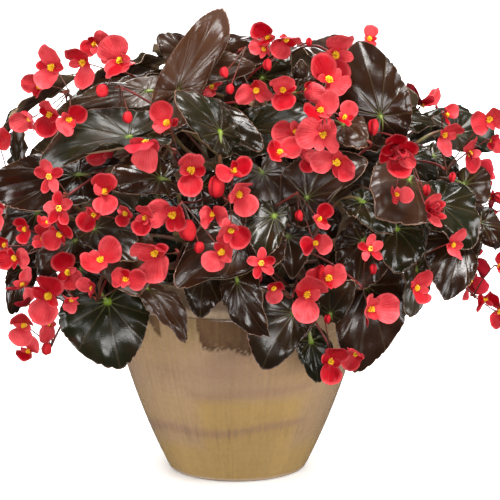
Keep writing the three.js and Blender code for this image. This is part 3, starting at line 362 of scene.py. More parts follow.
# A blade's outline and frame
LOBE = 0.42
BELLY = 0.25
POINT = 0.33
POINT_TURN = 27
NOTCH_FROM = 158
NOTCH_DEPTH = 0.9
OUTLINE_WIDTH = 1.09
ARCH = (0.07, 0.17)
FOLD = (0.02, 0.34)
DROOP = (0.2, 0.5)
WAVE = (2.2, 4.2)
WAVES = (5, 8)
PHASE = (0, 6)


def outline(angle):
    """A blade's reach at an angle from its midrib, as a share of its length: a drawn-out heart."""
    degrees = abs(angle) / DEGREE
    heart = LOBE + BELLY * math.cos(angle / 2) ** 2 + POINT * math.exp(-degrees / POINT_TURN)
    notch = min(1, max(0, (degrees - NOTCH_FROM) / (180 - NOTCH_FROM)))
    return heart * (1 - NOTCH_DEPTH * notch * notch * (3 - 2 * notch))


def make_leaf(foot, tip, width, facing, roll, wider, k, fine):
    """A leaf from foot to tip that faces a way as nearly as it can, and its draws as item k."""
    along = unit(sub(tip, foot))
    level = unit(sub(facing, mul(along, dot(facing, along))))
    out, across = turned(level, cross(level, along), roll * DEGREE)
    length = size(sub(tip, foot))
    return {
        "foot": foot,
        "along": along,
        "across": across,
        "out": out,
        "length": length,
        "spread": width / (OUTLINE_WIDTH * length),
        "width": width,
        "wider": wider,
        "arch": between(*ARCH, k, 21) * length,
        "fold": between(*FOLD, k, 22),
        "droop": between(*DROOP, k, 23),
        "wave": between(*WAVE, k, 24),
        "waves": math.floor(between(*WAVES, k, 25)),
        "phase": between(*PHASE, k, 26),
        "fine": fine,
        "k": k,
    }


def blade_point(leaf, share, angle):
    reach = leaf["length"] * outline(angle) * share
    half = 1 + LOPSIDED if angle * leaf["wider"] > 0 else 1 - LOPSIDED
    x = reach * math.cos(angle)
    y = reach * math.sin(angle) * leaf["spread"] * half
    s = x / leaf["length"]
    lift = (
        leaf["arch"] * 4 * s * (1 - s if s > 0 else 1)
        + leaf["fold"] * abs(y)
        - (leaf["droop"] * y * y) / leaf["width"]
        + leaf["wave"] * share * share * math.sin(leaf["waves"] * angle + leaf["phase"])
    )
    return total(leaf["foot"], mul(leaf["along"], x), mul(leaf["across"], y), mul(leaf["out"], lift))


BLADE_ANGLES = (28, 72, 128)
PLAIN_BLADE_ANGLES = (36, 112)
RIB_SHARES = (0.42, 0.76, 1)
TIP = 4
FIRST_EDGE = 5


def blade_corners(leaf):
    """The corners of the plain blade: either side of its foot, along its rib, and round both halves."""
    beside = mul(leaf["across"], LEAF_STALK_RADIUS * 0.7)
    angles = BLADE_ANGLES if leaf["fine"] else PLAIN_BLADE_ANGLES
    return [
        add(leaf["foot"], beside),
        sub(leaf["foot"], beside),
        *[blade_point(leaf, share, 0) for share in RIB_SHARES],
        *[blade_point(leaf, 1, angle * DEGREE) for angle in angles],
        *[blade_point(leaf, 1, -angle * DEGREE) for angle in angles],
    ]


def half_blade(fine, foot, edge):
    """The faces of half a blade, as numbers of its corners, from its tip to its foot."""
    inner = [(TIP, edge, 3), (edge, 2, 3), (edge, edge + 1, 2)]
    if fine:
        return inner + [(edge + 1, edge + 2, 2), (edge + 2, foot, 2)]
    return inner + [(edge + 1, foot, 2)]


def blade_faces(fine):
    other = FIRST_EDGE + len(BLADE_ANGLES if fine else PLAIN_BLADE_ANGLES)
    mirrored = [(a, c, b) for a, b, c in half_blade(fine, 1, other)]
    return half_blade(fine, 0, FIRST_EDGE) + mirrored + [(0, 1, 2)]


BEAD_STEP = 10
BLADE_ROOM = 5.9
FOOT_ROOM = 4


def leaf_beads(leaf):
    """The beads of a blade: its foot, and points spread over every face."""
    corners = blade_corners(leaf)
    foot = leaf["foot"]
    beads = [(foot, FOOT_ROOM)]
    for a, b, c in blade_faces(leaf["fine"]):
        p, q, r = corners[a], corners[b], corners[c]
        n = math.ceil(max(size(sub(p, q)), size(sub(q, r)), size(sub(r, p))) / BEAD_STEP)
        for i in range(n + 1):
            pi = mul(p, i / n)
            for j in range(n - i + 1):
                at = add(add(pi, mul(q, j / n)), mul(r, (n - i - j) / n))
                if size(sub(at, foot)) > FOOT_ROOM:
                    beads.append((at, BLADE_ROOM))
    return beads


STALK_BEAD_STEP = 6


def stalk_beads(start, knee, end, room):
    route = (start, bend(start, knee, end, 0.5), end)
    beads = []
    for origin, to in zip(route, route[1:]):
        count = math.ceil(size(sub(to, origin)) / STALK_BEAD_STEP)
        beads += [(mix(origin, to, k / count), room) for k in range(count + 1)]
    return beads


KNEE_SHIFTS = [
    (0, 0), (0.3, 0), (-0.3, 0), (0, 0.3), (0, -0.3), (0.45, 0.3), (-0.45, 0.3), (0.2, 0.15), (-0.2, 0.15),
    (0.5, 0), (-0.5, 0), (0, 0.5),
]
STALK_RUN = 0.42
STALK_DROP = 0.16
LEAF_STALK_REACH = 185
SHORTEST_STALK = 22
CANE_PLACES = 26
LOWEST_PLACE = 5
LEVEL_START = 20
used = set()


def reachable(point, longest):
    """Free places on the canes that a stalk may come from, the nearest and lowest first."""
    places = []
    for index, cane in enumerate(canes):
        for k in range(LOWEST_PLACE, CANE_PLACES + 1):
            if (index, k) in used:
                continue
            at = cane_point(cane, k / CANE_PLACES)
            far = size(sub(point, at))
            above = max(0, at[2] - point[2] - LEVEL_START)
            if SHORTEST_STALK < far < longest:
                places.append((far + above, index, k, at))
    places.sort(key=lambda place: place[0])
    return places


LEAF_STALK_ROOM = 0.6
STALK_ROOT = 4
BEADS_AT_FOOT = 3
OWN_BLADE_ROOM = 6.5


def leaf_stalk(leaf, own):
    """A stalk from a cane to the leaf's foot, clear of all that is set and of its own blade's beads."""
    foot = leaf["foot"]
    for _, index, k, at in reachable(foot, LEAF_STALK_REACH):
        far = size(sub(foot, at))
        for aside, under in KNEE_SHIFTS:
            knee = total(
                foot,
                mul(leaf["along"], -STALK_RUN * far),
                mul(leaf["across"], aside * far),
                mul(leaf["out"], -(STALK_DROP + under) * far),
            )
            beads = stalk_beads(at, knee, foot, LEAF_STALK_RADIUS + LEAF_STALK_ROOM)
            owners = (("cane", index), ("stalks", index))
            if not clear(beads, owners, at, STALK_ROOT * CANE_RADIUS):
                continue
            free = [bead[0] for bead in beads[:-BEADS_AT_FOOT]]
            if not any(size(sub(b, bead[0])) < OWN_BLADE_ROOM for bead in own[1:] for b in free):
                return {"start": at, "knee": knee, "end": foot, "cane": index, "place": k}, beads
    return None


leaves = []


def set_leaf(leaf):
    beads = leaf_beads(leaf)
    if not clear(beads):
        return False
    carried = leaf_stalk(leaf, beads)
    if not carried:
        return False
    stalk, along = carried
    claim(beads, "blade")
    claim(along, ("stalks", stalk["cane"]))
    used.add((stalk["cane"], stalk["place"]))
    leaves.append({**leaf, "stalk": stalk, "cane": stalk["cane"]})
    return True


# Leaves of the front
SLIDES = (0, -9, 9, -18, 18, 27, -27, 38, 50, -38, 62, 75, 90, 105, 120, 135, 150)
ROLLS = (0, 10, -10, 20, -20)
TRIES = sorted(
    [(slide, roll) for slide in SLIDES for roll in ROLLS],
    key=lambda pair: abs(pair[0]) + 2 * abs(pair[1]),
)
BROADER = 1.1
LEAF_SPREAD = 700  # the smaller, the more the leaves at either side face outwards
LEAF_FACING = (-0.88, 0.45)  # towards the eye, and upwards


def leaf_of_row(leaf_row, slide, more, broader, k, fine):
    """The leaf of a table's row, slid back, rolled more and broader."""
    foot_across, foot_up, tip_across, tip_up, width, layer, roll, wider = leaf_row
    deep = LAYER * layer + slide
    foot = seen(foot_across, foot_up, front_of_dome(foot_across, foot_up) + FOOT_BEHIND + deep)
    tip = seen(tip_across, tip_up, front_of_dome(tip_across, tip_up) + deep)
    facing = unit((foot[0] / LEAF_SPREAD, *LEAF_FACING))
    return make_leaf(foot, tip, broader * width, facing, roll + more, wider, k, fine)


def place_front_leaf(leaf_row, k):
    """Sets a leaf at the first slide and roll where it finds room."""
    *_, layer, _, _ = leaf_row
    for slide, more in TRIES:
        if set_leaf(leaf_of_row(leaf_row, slide, more, BROADER, k, layer == 0)):
            return


for number, leaf_row in enumerate(LEAVES):
    place_front_leaf(leaf_row, number)

# Blooms: each petal's angle round the middle, its length and its width, as shares of the bloom's size
PETALS = {
    "pair": [(0, 1, 0.98), (90, 0.6, 0.4), (180, 1, 0.98), (270, 0.6, 0.4)],
    "star": [(0, 1, 0.6), (72, 0.95, 0.6), (144, 1, 0.55), (216, 1, 0.55), (288, 0.95, 0.6)],
    "double": [(0, 1, 0.8), (62, 0.8, 0.5), (118, 0.8, 0.5), (180, 1, 0.8), (242, 0.8, 0.5), (298, 0.8, 0.5)],
}
PETAL_CUP = {"pair": 0.2, "star": 0.16, "double": 0.75, "bud": 0}
BROAD = 0.7
CUP_STRAY = (-0.05, 0.12)


def make_bloom(kind, middle, facing, length, roll, k):
    upright = unit(sub(EYE_UP, mul(facing, dot(facing, EYE_UP))))
    first, second = turned(upright, cross(upright, facing), roll * DEGREE)
    return {
        "kind": kind,
        "middle": middle,
        "facing": facing,
        "length": length,
        "first": first,
        "second": second,
        "cup": PETAL_CUP[kind] + between(*CUP_STRAY, k, 31),
        "k": k,
    }


def bloom_point(bloom, angle, outwards, aside):
    way, beside = turned(bloom["first"], bloom["second"], angle * DEGREE)
    lift = (bloom["cup"] * (outwards * outwards + 0.6 * aside * aside)) / bloom["length"]
    return total(bloom["middle"], mul(way, outwards), mul(beside, aside), mul(bloom["facing"], lift))


PETAL_ROOM = 4.6
PETAL_SHARES = (0.3, 0.62, 0.92)  # along a petal
PETAL_ASIDES = (-0.32, 0, 0.32)  # across a broad one's outer half
BUD_ROOM = 5
BLOOMS_APART = 8.4


def bloom_beads(bloom):
    if bloom["kind"] == "bud":
        half = mul(bloom["first"], bloom["length"] * 0.3)
        middle = bloom["middle"]
        return [(at, BUD_ROOM) for at in (middle, add(middle, half), sub(middle, half))]
    beads = [(add(bloom["middle"], mul(bloom["facing"], 3)), PETAL_ROOM)]
    length = bloom["length"]
    for angle, long, wide in PETALS[bloom["kind"]]:
        for share in PETAL_SHARES:
            for aside in PETAL_ASIDES if wide > BROAD and share > 0.5 else (0,):
                at = bloom_point(bloom, angle, share * long * length, aside * wide * length)
                beads.append((at, PETAL_ROOM))
    return beads


FORK_DEPTHS = (34, 48, 24, 62, 80, 96, 14)
FORK_ASIDES = (0, 12, -12, 24, -24, 38, -38)
FORK_UPS = (-10, 6, -26, 22, 42, 64)
SPRAY_KNEES = [
    (0, 0.3), (0, -0.1), (0.3, 0.2), (-0.3, 0.2), (0.45, 0), (-0.45, 0), (0.15, 0.1), (-0.15, 0.1), (0, 0.5),
    (0.25, -0.2), (-0.25, -0.2),
]
RECEPTACLE = 5
SPRAY_STALK_REACH = 240
TWIG_ROOM = 1
SPRAY_STALK_ROOM = 1.2
SPRAY_ROOT = 2.6


def spray_stalks(blooms):
    """A stem from a cane to a fork behind the blooms, and a twig to each, all clear of what is set."""
    middle = mul(total(*[bloom["middle"] for bloom in blooms]), 1 / len(blooms))
    facing = unit(total(*[bloom["facing"] for bloom in blooms]))
    aside = unit(cross((0, 0, 1), facing))
    ends = [add(bloom["middle"], mul(bloom["facing"], -RECEPTACLE)) for bloom in blooms]
    for depth, sideways, rise in itertools.product(FORK_DEPTHS, FORK_ASIDES, FORK_UPS):
        fork = total(middle, mul(facing, -depth), mul(aside, sideways), (0, 0, rise))
        beads = []
        for end in ends:
            beads += stalk_beads(fork, mix(fork, end, 0.5), end, BLOOM_STALK_RADIUS + TWIG_ROOM)
        if not clear(beads):
            continue
        for _, index, _, at in reachable(fork, SPRAY_STALK_REACH):
            far = size(sub(fork, at))
            for sway, lift in SPRAY_KNEES:
                knee = total(mix(at, fork, 0.55), mul(aside, sway * far), (0, 0, lift * far))
                stem = stalk_beads(at, knee, fork, SPRAY_STALK_RADIUS + SPRAY_STALK_ROOM)
                if clear(stem, (("cane", index),), at, SPRAY_ROOT * CANE_RADIUS):
                    return {"start": at, "knee": knee, "fork": fork, "ends": ends}, beads + stem
    return None


sprays = []


def set_spray(blooms):
    carried = spray_stalks(blooms)
    if not carried:
        return False
    stalks, beads = carried
    for bloom in blooms:
        claim(bloom_beads(bloom), "bloom")
    claim(beads, "spray")
    sprays.append({"blooms": blooms, **stalks})
    return True


BLOOM_SLIDES = (0, -8, 8, -16, -24, 16, -32, 24, -42, 34, -54, 46, 60, -66, 76, 90, 105, 120)
BLOOM_BEFORE = 10
BLOOM_SPREAD = 420  # the smaller, the more the blooms at either side face outwards
BLOOM_RISE = 0.18
BLOOM_ASIDES = (-0.22, 0.22)
BLOOM_LIFTS = (-0.25, 0.3)


def slide_bloom(bloom_row, slide, k, taken):
    """The bloom of a table's row, slid back, and its beads, or None where there is no room."""
    kind, across, up, length, roll, layer = bloom_row
    back = front_of_dome(across, up) - BLOOM_BEFORE + 2 * LAYER * layer + slide
    middle = seen(across, up, back)
    aside = middle[0] / BLOOM_SPREAD + between(*BLOOM_ASIDES, k, 41)
    facing = unit((aside, -1, BLOOM_RISE + between(*BLOOM_LIFTS, k, 42)))
    bloom = make_bloom(kind, middle, facing, length, roll, k)
    beads = bloom_beads(bloom)
    if any(size(sub(b[0], one[0])) < BLOOMS_APART for one in taken for b in beads):
        return None
    return (bloom, beads) if clear(beads) else None


SPRAY_TRIES = 6


def place_front_spray(rows, index):
    """Sets a spray where each of its blooms finds room; each new try skips one more slide."""
    for skip in range(SPRAY_TRIES):
        blooms, taken = [], []
        for k, bloom_row in enumerate(rows):
            for slide in BLOOM_SLIDES[skip:]:
                found = slide_bloom(bloom_row, slide, 10 * index + k, taken)
                if found:
                    blooms.append(found[0])
                    taken += found[1]
                    break
        if len(blooms) == len(rows) and set_spray(blooms):
            return


for number, rows in enumerate(SPRAYS):
    place_front_spray(rows, number)

# The dome seen from all round
DOME_CENTRE = 290
DOME_ACROSS = 312
DOME_BACK = 284
DOME_TOP = 200
DOME_SKIRT = 140
GOLDEN = math.pi * (3 - math.sqrt(5))
LOWEST_SLOPE = -0.8
SHUFFLE = 61


def dome_point(turn, slope, share):
    level = math.cos(slope) * share
    rise = math.sin(slope) * (DOME_TOP if slope > 0 else DOME_SKIRT) * share
    return (DOME_ACROSS * level * math.cos(turn), DOME_BACK * level * math.sin(turn), DOME_CENTRE + rise)


def spot(item, count):
    """The turn and slope of a spot of the dome: an even spiral, taken in a shuffled order."""
    k = (item * SHUFFLE) % count
    level = LOWEST_SLOPE + ((1 - LOWEST_SLOPE) * (k + 0.5)) / count
    return (k * GOLDEN) % (2 * math.pi), math.asin(level)


# Sprays of the sides and back
BACK_SPRAYS = 5
BACK_SPOTS = 40
BACK_DRAWS = 6
HINDMOST = 0.12
BACK_RING = {"pair": 27, "bud": 30}  # how far the blooms of a back spray stand from its middle
BACK_DEPTHS = (-16, 16)
BACK_LENGTHS = (25, 33)
BACK_BUD = 17
BACK_FAN = 0.012  # how much further each bloom turns aside for a millimetre that it stands aside


def back_blooms(turn, slope, k, draw):
    """Two blooms and a bud round a spot of the dome."""
    middle = dome_point(turn, slope, 1.02)
    facing = unit(sub(middle, (0, 0, DOME_CENTRE - 60)))
    aside = unit(cross((0, 0, 1), facing))
    upwards = cross(facing, aside)
    swing = between(0, 360, k + draw * 50, 51) * DEGREE
    blooms = []
    for n in range(3):
        item = 3 * k + n
        kind = "bud" if n == 2 else "pair"
        way = swing + (n * 2 * math.pi) / 3
        reach = BACK_RING[kind]
        at = total(
            middle,
            mul(aside, reach * math.cos(way)),
            mul(upwards, reach * math.sin(way)),
            mul(facing, between(*BACK_DEPTHS, item + draw * 7, 52)),
        )
        look = unit(add(facing, mul(sub(at, middle), BACK_FAN)))
        length = BACK_BUD if kind == "bud" else between(*BACK_LENGTHS, item, 53)
        blooms.append(make_bloom(kind, at, look, length, between(0, 360, item, 54), item))
    return blooms


def place_back_spray(k):
    turn, slope = spot(k, BACK_SPOTS)
    if math.sin(turn) * math.cos(slope) < HINDMOST:
        return
    for draw in range(BACK_DRAWS):
        blooms = back_blooms(turn, slope, k, draw)
        beads = [bloom_beads(bloom) for bloom in blooms]
        apart = all(size(sub(a[0], b[0])) > BLOOMS_APART for a in beads[0] for b in beads[1])
        if apart and all(clear(some) for some in beads) and set_spray(blooms):
            return


all_sprays = len(sprays) + BACK_SPRAYS
for number in range(BACK_SPOTS):
    if len(sprays) < all_sprays:
        place_back_spray(number)

# Leaves of the sides, back and inside
ALL_LEAVES = 84
LEAF_SPOTS = 150
LEAF_DRAWS = 5
SHELLS = [
    # share, front, long
    (0.95, 0.7, 110),
    (0.72, 0.45, 100),
    (0.97, 0.8, 74),
    (0.6, 0.3, 74),
]
RULE_REACH = (0.94, 1.03)
RULE_SWING = (-50, 50)  # degrees from straight downhill
RULE_LENGTH = (0.85, 1.15)
RULE_HANG = (0.16, 0.4)  # how far a tip hangs out beyond its foot, as a share of the length
RULE_WIDTH = (0.8, 0.98)
RULE_ROLL = (-16, 16)
RULE_RISE = 0.9  # how much rather a leaf faces upwards


def place_rule_leaf(k, share, front, long):
    turn, slope = spot(k, LEAF_SPOTS)
    faces_eye = max(0, -math.sin(turn) * math.cos(slope))
    reach = share + (front - share) * min(1, 1.6 * faces_eye)
    for draw in range(LEAF_DRAWS):
        item = k + draw * LEAF_SPOTS + long
        tip = dome_point(turn, slope, reach * between(*RULE_REACH, item, 61))
        out = unit((tip[0], tip[1] * 1.2, (tip[2] - DOME_CENTRE) * 1.4))
        around = unit(cross((0, 0, 1), out))
        downhill = cross(around, out)
        swing = between(*RULE_SWING, item, 62) * DEGREE
        along = add(mul(downhill, -math.cos(swing)), mul(around, math.sin(swing)))
        length = long * between(*RULE_LENGTH, item, 63)
        foot = total(tip, mul(along, length), mul(out, -length * between(*RULE_HANG, item, 64)))
        facing = unit(add(out, (0, 0, RULE_RISE)))
        width = length * between(*RULE_WIDTH, item, 65)
        wider = 1 if chance(item, 66) > 0.5 else -1
        roll = between(*RULE_ROLL, item, 67)
        if set_leaf(make_leaf(foot, tip, width, facing, roll, wider, 100 + item, False)):
            return


for share, front, long in SHELLS:
    for number in range(LEAF_SPOTS):
        if len(leaves) < ALL_LEAVES:
            place_rule_leaf(number, share, front, long)

# ---- Fine meshes, in millimetres until they are written ----


def row(vector):
    return np.array(vector, float)


def smooth(low, high, value):
    t = np.clip((value - low) / (high - low), 0, 1)
    return t * t * (3 - 2 * t)


def peak(value, width):
    """1 where the value is nought, fading over a width to either side."""
    return np.exp(-((value / width) ** 2))


def wave(angle, k, salt):
    """A sine wave that starts where a draw for item k puts it."""
    return np.sin(angle + 6 * chance(k, salt))


def ripple(x, y, seed, waves=5):
    """Soft noise between about -1 and 1 over the plane, the same at each run."""
    whole = 0
    for n in range(waves):
        turn = 2 * math.pi * chance(n, seed)
        pace = 0.7 + 0.9 * chance(n, seed + 0.37)
        way = pace * (x * math.cos(turn) + y * math.sin(turn))
        whole = whole + np.sin(way + 6.3 * chance(n, seed + 0.71))
    return whole / waves**0.5 / 1.2


def curve(a, b, c, count):
    """Points along the bend from a past b to c."""
    t = np.linspace(0, 1, count)[:, None]
    return row(a) * (1 - t) ** 2 + row(b) * 2 * t * (1 - t) + row(c) * t**2


def placed(middle, *moves):
    """Points reached from a middle by moves, each a grid of distances and a way."""
    points = row(middle)
    for far, way in moves:
        points = points + np.multiply.outer(far, row(way))
    return points


def polar(shares, columns):
    """A grid of shares of the way out, by turns all the way round."""
    return np.meshgrid(shares, 2 * math.pi * np.arange(columns) / columns, indexing="ij")


def grid_faces(rows, columns, wrap=False):
    """The quads between the points of a grid, counted row by row."""
    i, j = np.meshgrid(np.arange(rows - 1), np.arange(columns if wrap else columns - 1), indexing="ij")
    here, beside = i * columns + j, i * columns + (j + 1) % columns
    return np.stack([here, beside, beside + columns, here + columns], -1).reshape(-1, 4)


class Heap:
    """Points, faces and named values gathered for one object."""

    def __init__(self):
        self.points, self.faces, self.values, self.count = [], [], {}, 0

    def take(self, points, faces, **values):
        """Adds points, and faces that count from the first of them."""
        points = np.asarray(points, float).reshape(-1, 3)
        for name, value in values.items():
            width = 3 if name == "tint" else 1
            value = np.asarray(value, float).reshape(-1, width)
            self.values.setdefault(name, []).append(np.broadcast_to(value, (len(points), width)))
        self.points.append(points)
        self.faces.append(np.asarray(faces, int) + self.count)
        self.count += len(points)

    def make(self, name, material, nodes, slot):
        mesh = bpy.data.meshes.new(name)
        points = np.concatenate(self.points) / 1000
        loops = np.concatenate([faces.ravel() for faces in self.faces])
        sizes = np.concatenate([np.full(len(faces), faces.shape[1]) for faces in self.faces])
        mesh.vertices.add(len(points))
        mesh.vertices.foreach_set("co", points.astype(np.float32).ravel())
        mesh.loops.add(len(loops))
        mesh.loops.foreach_set("vertex_index", loops.astype(np.int32))
        mesh.polygons.add(len(sizes))
        mesh.polygons.foreach_set("loop_start", (np.cumsum(sizes) - sizes).astype(np.int32))
        mesh.update(calc_edges=True)
        mesh.validate()
        mesh.polygons.foreach_set("use_smooth", np.ones(len(mesh.polygons), bool))
        for key, kept in self.values.items():
            joined = np.concatenate(kept)
            kind, field = "FLOAT", "value"
            if key == "tint":
                joined = np.concatenate([joined, np.ones((len(joined), 1))], axis=1)
                kind, field = "FLOAT_COLOR", "color"
            layer = mesh.attributes.new(key, kind, "POINT")
            layer.data.foreach_set(field, joined.astype(np.float32).ravel())
        mesh.materials.append(material)
        piece = bpy.data.objects.new(name, mesh)
        bpy.context.scene.collection.objects.link(piece)
        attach(piece, "root")
        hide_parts(*nodes)


def shell(heap, over, under, wrap, **values):
    """Takes a thin sheet: its upper and lower grids of points, closed along its rim."""
    rows, columns = over.shape[:2]
    faces = grid_faces(rows, columns, wrap)
    count = rows * columns
    last = (rows - 1) * columns + np.arange(columns)
    a, b = (last, np.roll(last, -1)) if wrap else (last[:-1], last[1:])
    rim = np.stack([b, a, a + count, b + count], -1)
    shape = (rows, columns)
    both = {name: np.tile(np.broadcast_to(value, shape).ravel(), 2) for name, value in values.items()}
    points = np.concatenate([over.reshape(-1, 3), under.reshape(-1, 3)])
    faces = np.concatenate([faces, faces[:, ::-1] + count, rim])
    heap.take(points, faces, under=np.repeat([0.0, 1.0], count), **both)


TUBE_ENDS = ((0.7, 0.02), (0.5, 0.7))  # the rings that round off a tube: how far on and how wide, in radii


def tube(heap, route, radii, sides, **values):
    """Takes a round stalk along a route, closed by rounded ends."""
    route = np.asarray(route, float)
    ways = np.gradient(route, axis=0)
    ways /= np.linalg.norm(ways, axis=1)[:, None]
    first = np.cross(ways[0], [0.31, 0.77, 0.55])
    turns = 2 * math.pi * np.arange(sides) / sides
    rings = []
    for at, way, radius in zip(route, ways, radii):
        first = first - way * (first @ way)
        first /= np.linalg.norm(first)
        around = np.outer(np.cos(turns), first) + np.outer(np.sin(turns), np.cross(way, first))
        rings.append(at + around * radius)
    foot = [route[0] - ways[0] * radii[0] * on + (rings[0] - route[0]) * wide for on, wide in TUBE_ENDS]
    head = [route[-1] + ways[-1] * radii[-1] * on + (rings[-1] - route[-1]) * wide for on, wide in TUBE_ENDS]
    along = np.concatenate([[0, 0], np.linspace(0, 1, len(route)), [1, 1]])
    faces = grid_faces(len(along), sides, True)[:, ::-1]
    heap.take(np.concatenate(foot + rings + head[::-1]), faces, along=np.repeat(along, sides), **values)


# ---- Leaves ----

VEINS = (31, 64, 101, 142)  # degrees from the midrib, on either half
VEIN_JITTER = 4
COLUMN = 2.1  # widest spacing of a blade's columns at its edge
ROW = 2.6
FEWEST_ROWS = 14
FEWEST_COLUMNS = 6  # between two veins
TOOTH = 2.3
TOOTH_PITCH = 5.5  # millimetres of length for each tooth of a half's edge
QUILT = (0.002, 0.022)  # rise of the panels between veins, as a share of the length
RUFFLE = (1.0, 3.0)
CURL = (0.5, 8)
SWAY = (0.02, 0.055)  # slow rise and fall of the whole blade, as a share of the length
FOLDED = (-0.05, 0.16)  # how much more the halves of a blade are folded together
TIP_TURN = 31  # the angle over which the drawn-out tip fades
THICK = 0.75
FORKS = ((0.34, 0.3), (0.62, 0.16))  # where side veins leave, and how far they swing, in shares


def vein_angles(leaf):
    """The angles of a blade's main veins from its midrib, in radians, with the midrib's own."""
    halves = []
    for salt in (71, 72):
        drawn = [angle + VEIN_JITTER * stray(10 * leaf["k"] + n, salt) for n, angle in enumerate(VEINS, 1)]
        halves.append(drawn)
    return np.array([-angle for angle in reversed(halves[0])] + [0.0] + halves[1]) * DEGREE


def blade_columns(leaf, veins):
    """The angles of a blade's columns: one along every vein, and others evenly between them."""
    stops = np.concatenate([[-math.pi], veins, [math.pi]])
    angles = [stops[0]]
    for low, high in zip(stops, stops[1:]):
        arc = leaf["length"] * 0.6 * (high - low)
        count = max(FEWEST_COLUMNS, 2 * math.ceil(arc / COLUMN / 2))
        angles += list(low + (high - low) * np.arange(1, count + 1) / count)
    return np.array(angles)


def blade_shape(leaf, share, angle):
    """Reach, place along, place across and lift of blade points, for arrays of shares and angles."""
    degrees = np.abs(angle) / DEGREE
    heart = LOBE + BELLY * np.cos(angle / 2) ** 2 + POINT * np.exp(-((degrees / TIP_TURN) ** 1.4))
    heart = heart * (1 - NOTCH_DEPTH * smooth(NOTCH_FROM, 180, degrees))
    reach = leaf["length"] * heart * share
    half = np.where(angle * leaf["wider"] > 0, 1 + LOPSIDED, 1 - LOPSIDED)
    x = reach * np.cos(angle)
    y = reach * np.sin(angle) * leaf["spread"] * half
    s = x / leaf["length"]
    lift = (
        leaf["arch"] * 4 * s * np.where(s > 0, 1 - s, 1)
        + leaf["fold"] * np.sqrt(y * y + 9)
        - leaf["droop"] * y * y / leaf["width"]
        + leaf["wave"] * share * share * np.sin(leaf["waves"] * angle + leaf["phase"])
    )
    return reach, x, y, lift


def toothed(leaf, share, angle):
    """The shares, with the edge drawn into rounded teeth, each with a small point towards the tip."""
    k = leaf["k"]
    teeth = round(leaf["length"] / TOOTH_PITCH) + 4
    swell = angle + 0.35 * np.sin(angle) + 0.05 * wave(7 * angle, k, 70)
    saw = np.mod(teeth * swell / math.pi + chance(k, 73), 1)
    saw = np.where(angle > 0, 1 - saw, saw)
    uneven = 0.75 + 0.5 * wave(5 * angle, k, 69)
    tooth = TOOTH * uneven * (np.sin(saw * math.pi * 0.8) ** 0.8 - 0.55) * smooth(0.7, 1, share)
    return share * (1 + tooth / np.maximum(blade_shape(leaf, share, angle)[0], 12))


def vein_distances(leaf, veins, share, angle, reach):
    """How far blade points are from the nearest main vein, and from the side veins that fork from them."""
    main = np.abs(angle[..., None] - veins).min(-1) * reach
    fork = np.full_like(main, 99.0)
    gaps = [0.6, *np.diff(veins), 0.6]
    for n, vein in enumerate(veins):
        for side, gap in ((-1, gaps[n]), (1, gaps[n + 1])):
            for start, swing in FORKS:
                start = start + 0.08 * (chance(20 * leaf["k"] + n, 74 + side + swing) - 0.5)
                grown = np.clip((share - start) / (1 - start), 0, 1)
                path = vein + side * gap * swing * 1.25 * grown**0.8
                fork = np.minimum(fork, np.abs(angle - path) * reach + 60 * (share < start))
    return main, fork


def relief(leaf, share, angle, x, y, main, fork):
    """A blade's rise and fall: sunken veins, puffed panels between them, waves, folds and a curled rim."""
    k, length = leaf["k"], leaf["length"]
    groove = peak(main, 1.1) + 0.35 * peak(fork, 0.9)
    puff = 1 - np.exp(-((main / (0.10 * length)) ** 1.7)) - 0.13 * peak(fork, 2.4) * smooth(2, 6, main)
    quilt = between(*QUILT, k, 80) * length * smooth(0.02, 0.3, share) * (1 - 0.45 * smooth(0.88, 1, share))
    coarse = 0.5 * ripple(x * 0.12, y * 0.12, 65 + k * 0.17)
    crinkle = 0.16 * ripple(x * 0.42, y * 0.42, 75 + k * 0.13) + coarse
    ruffle = between(*RUFFLE, k, 76) * smooth(0.6, 1, share) * wave(13 * angle, k, 77)
    curl = between(*CURL, k, 78) * smooth(0.78, 1, share) ** 1.5 * (0.6 + 0.5 * wave(2 * angle, k, 79))
    sway = between(*SWAY, k, 68) * length * smooth(0.15, 0.9, share)
    sway = sway * (wave(3 * angle, k, 67.5) + 0.6 * wave(x * 0.06, k, 66.5))
    fold = between(*FOLDED, k, 67) * np.abs(y) * smooth(0, 0.5, share) - 3 * leaf["fold"] * np.exp(-share * 9)
    return fold + (quilt + crinkle) * puff - 0.6 * np.minimum(groove, 1) + ruffle - curl + sway


ROLLED = 0.42  # share of the leaves that have a rolled rim
ALWAYS_ROLLED = (7, 23, 6, 9, 24, 25, 10, 15)  # leaves of the front whose rolled rim is seen
ROLL_FROM = (0.72, 0.84)  # where the roll starts, as a share of the way to the rim
ROLL_SOONER = 0.12  # how much sooner it starts in the leaves that always have it
ROLL_RADIUS = (0.022, 0.034)  # as a share of the length
ROLL_MIDDLE = (45, 95)  # degrees from the midrib
ROLL_HALF = (28, 46)  # degrees from there to where the roll fades
MOST_ROLLED = 3.6  # radians


def roll_rim(leaf, share, angle, reach):
    """How far the rim of the lower half is drawn in and raised, where it rolls over to its underside."""
    k = leaf["k"]
    if chance(k, 115) > ROLLED and k not in ALWAYS_ROLLED:
        return np.ones_like(share), np.zeros_like(share)
    half = 1 if 0.3 * leaf["across"][0] > leaf["across"][2] else -1
    middle = half * between(*ROLL_MIDDLE, k, 116) * DEGREE
    weight = np.exp(-(((angle - middle) / (between(*ROLL_HALF, k, 117) * DEGREE)) ** 4))
    sooner = ROLL_SOONER if k in ALWAYS_ROLLED else 0
    start = between(*ROLL_FROM, k, 118) - sooner
    radius = between(*ROLL_RADIUS, k, 119) * leaf["length"] * (1 + 3 * sooner)
    beyond = np.clip(share - start, 0, 1) / np.maximum(share, 0.01) * reach
    turn = np.minimum(beyond / radius, MOST_ROLLED)
    drawn_in = (beyond - radius * np.sin(turn)) * weight
    return 1 - drawn_in / np.maximum(reach, 1), radius * (1 - np.cos(turn)) * weight


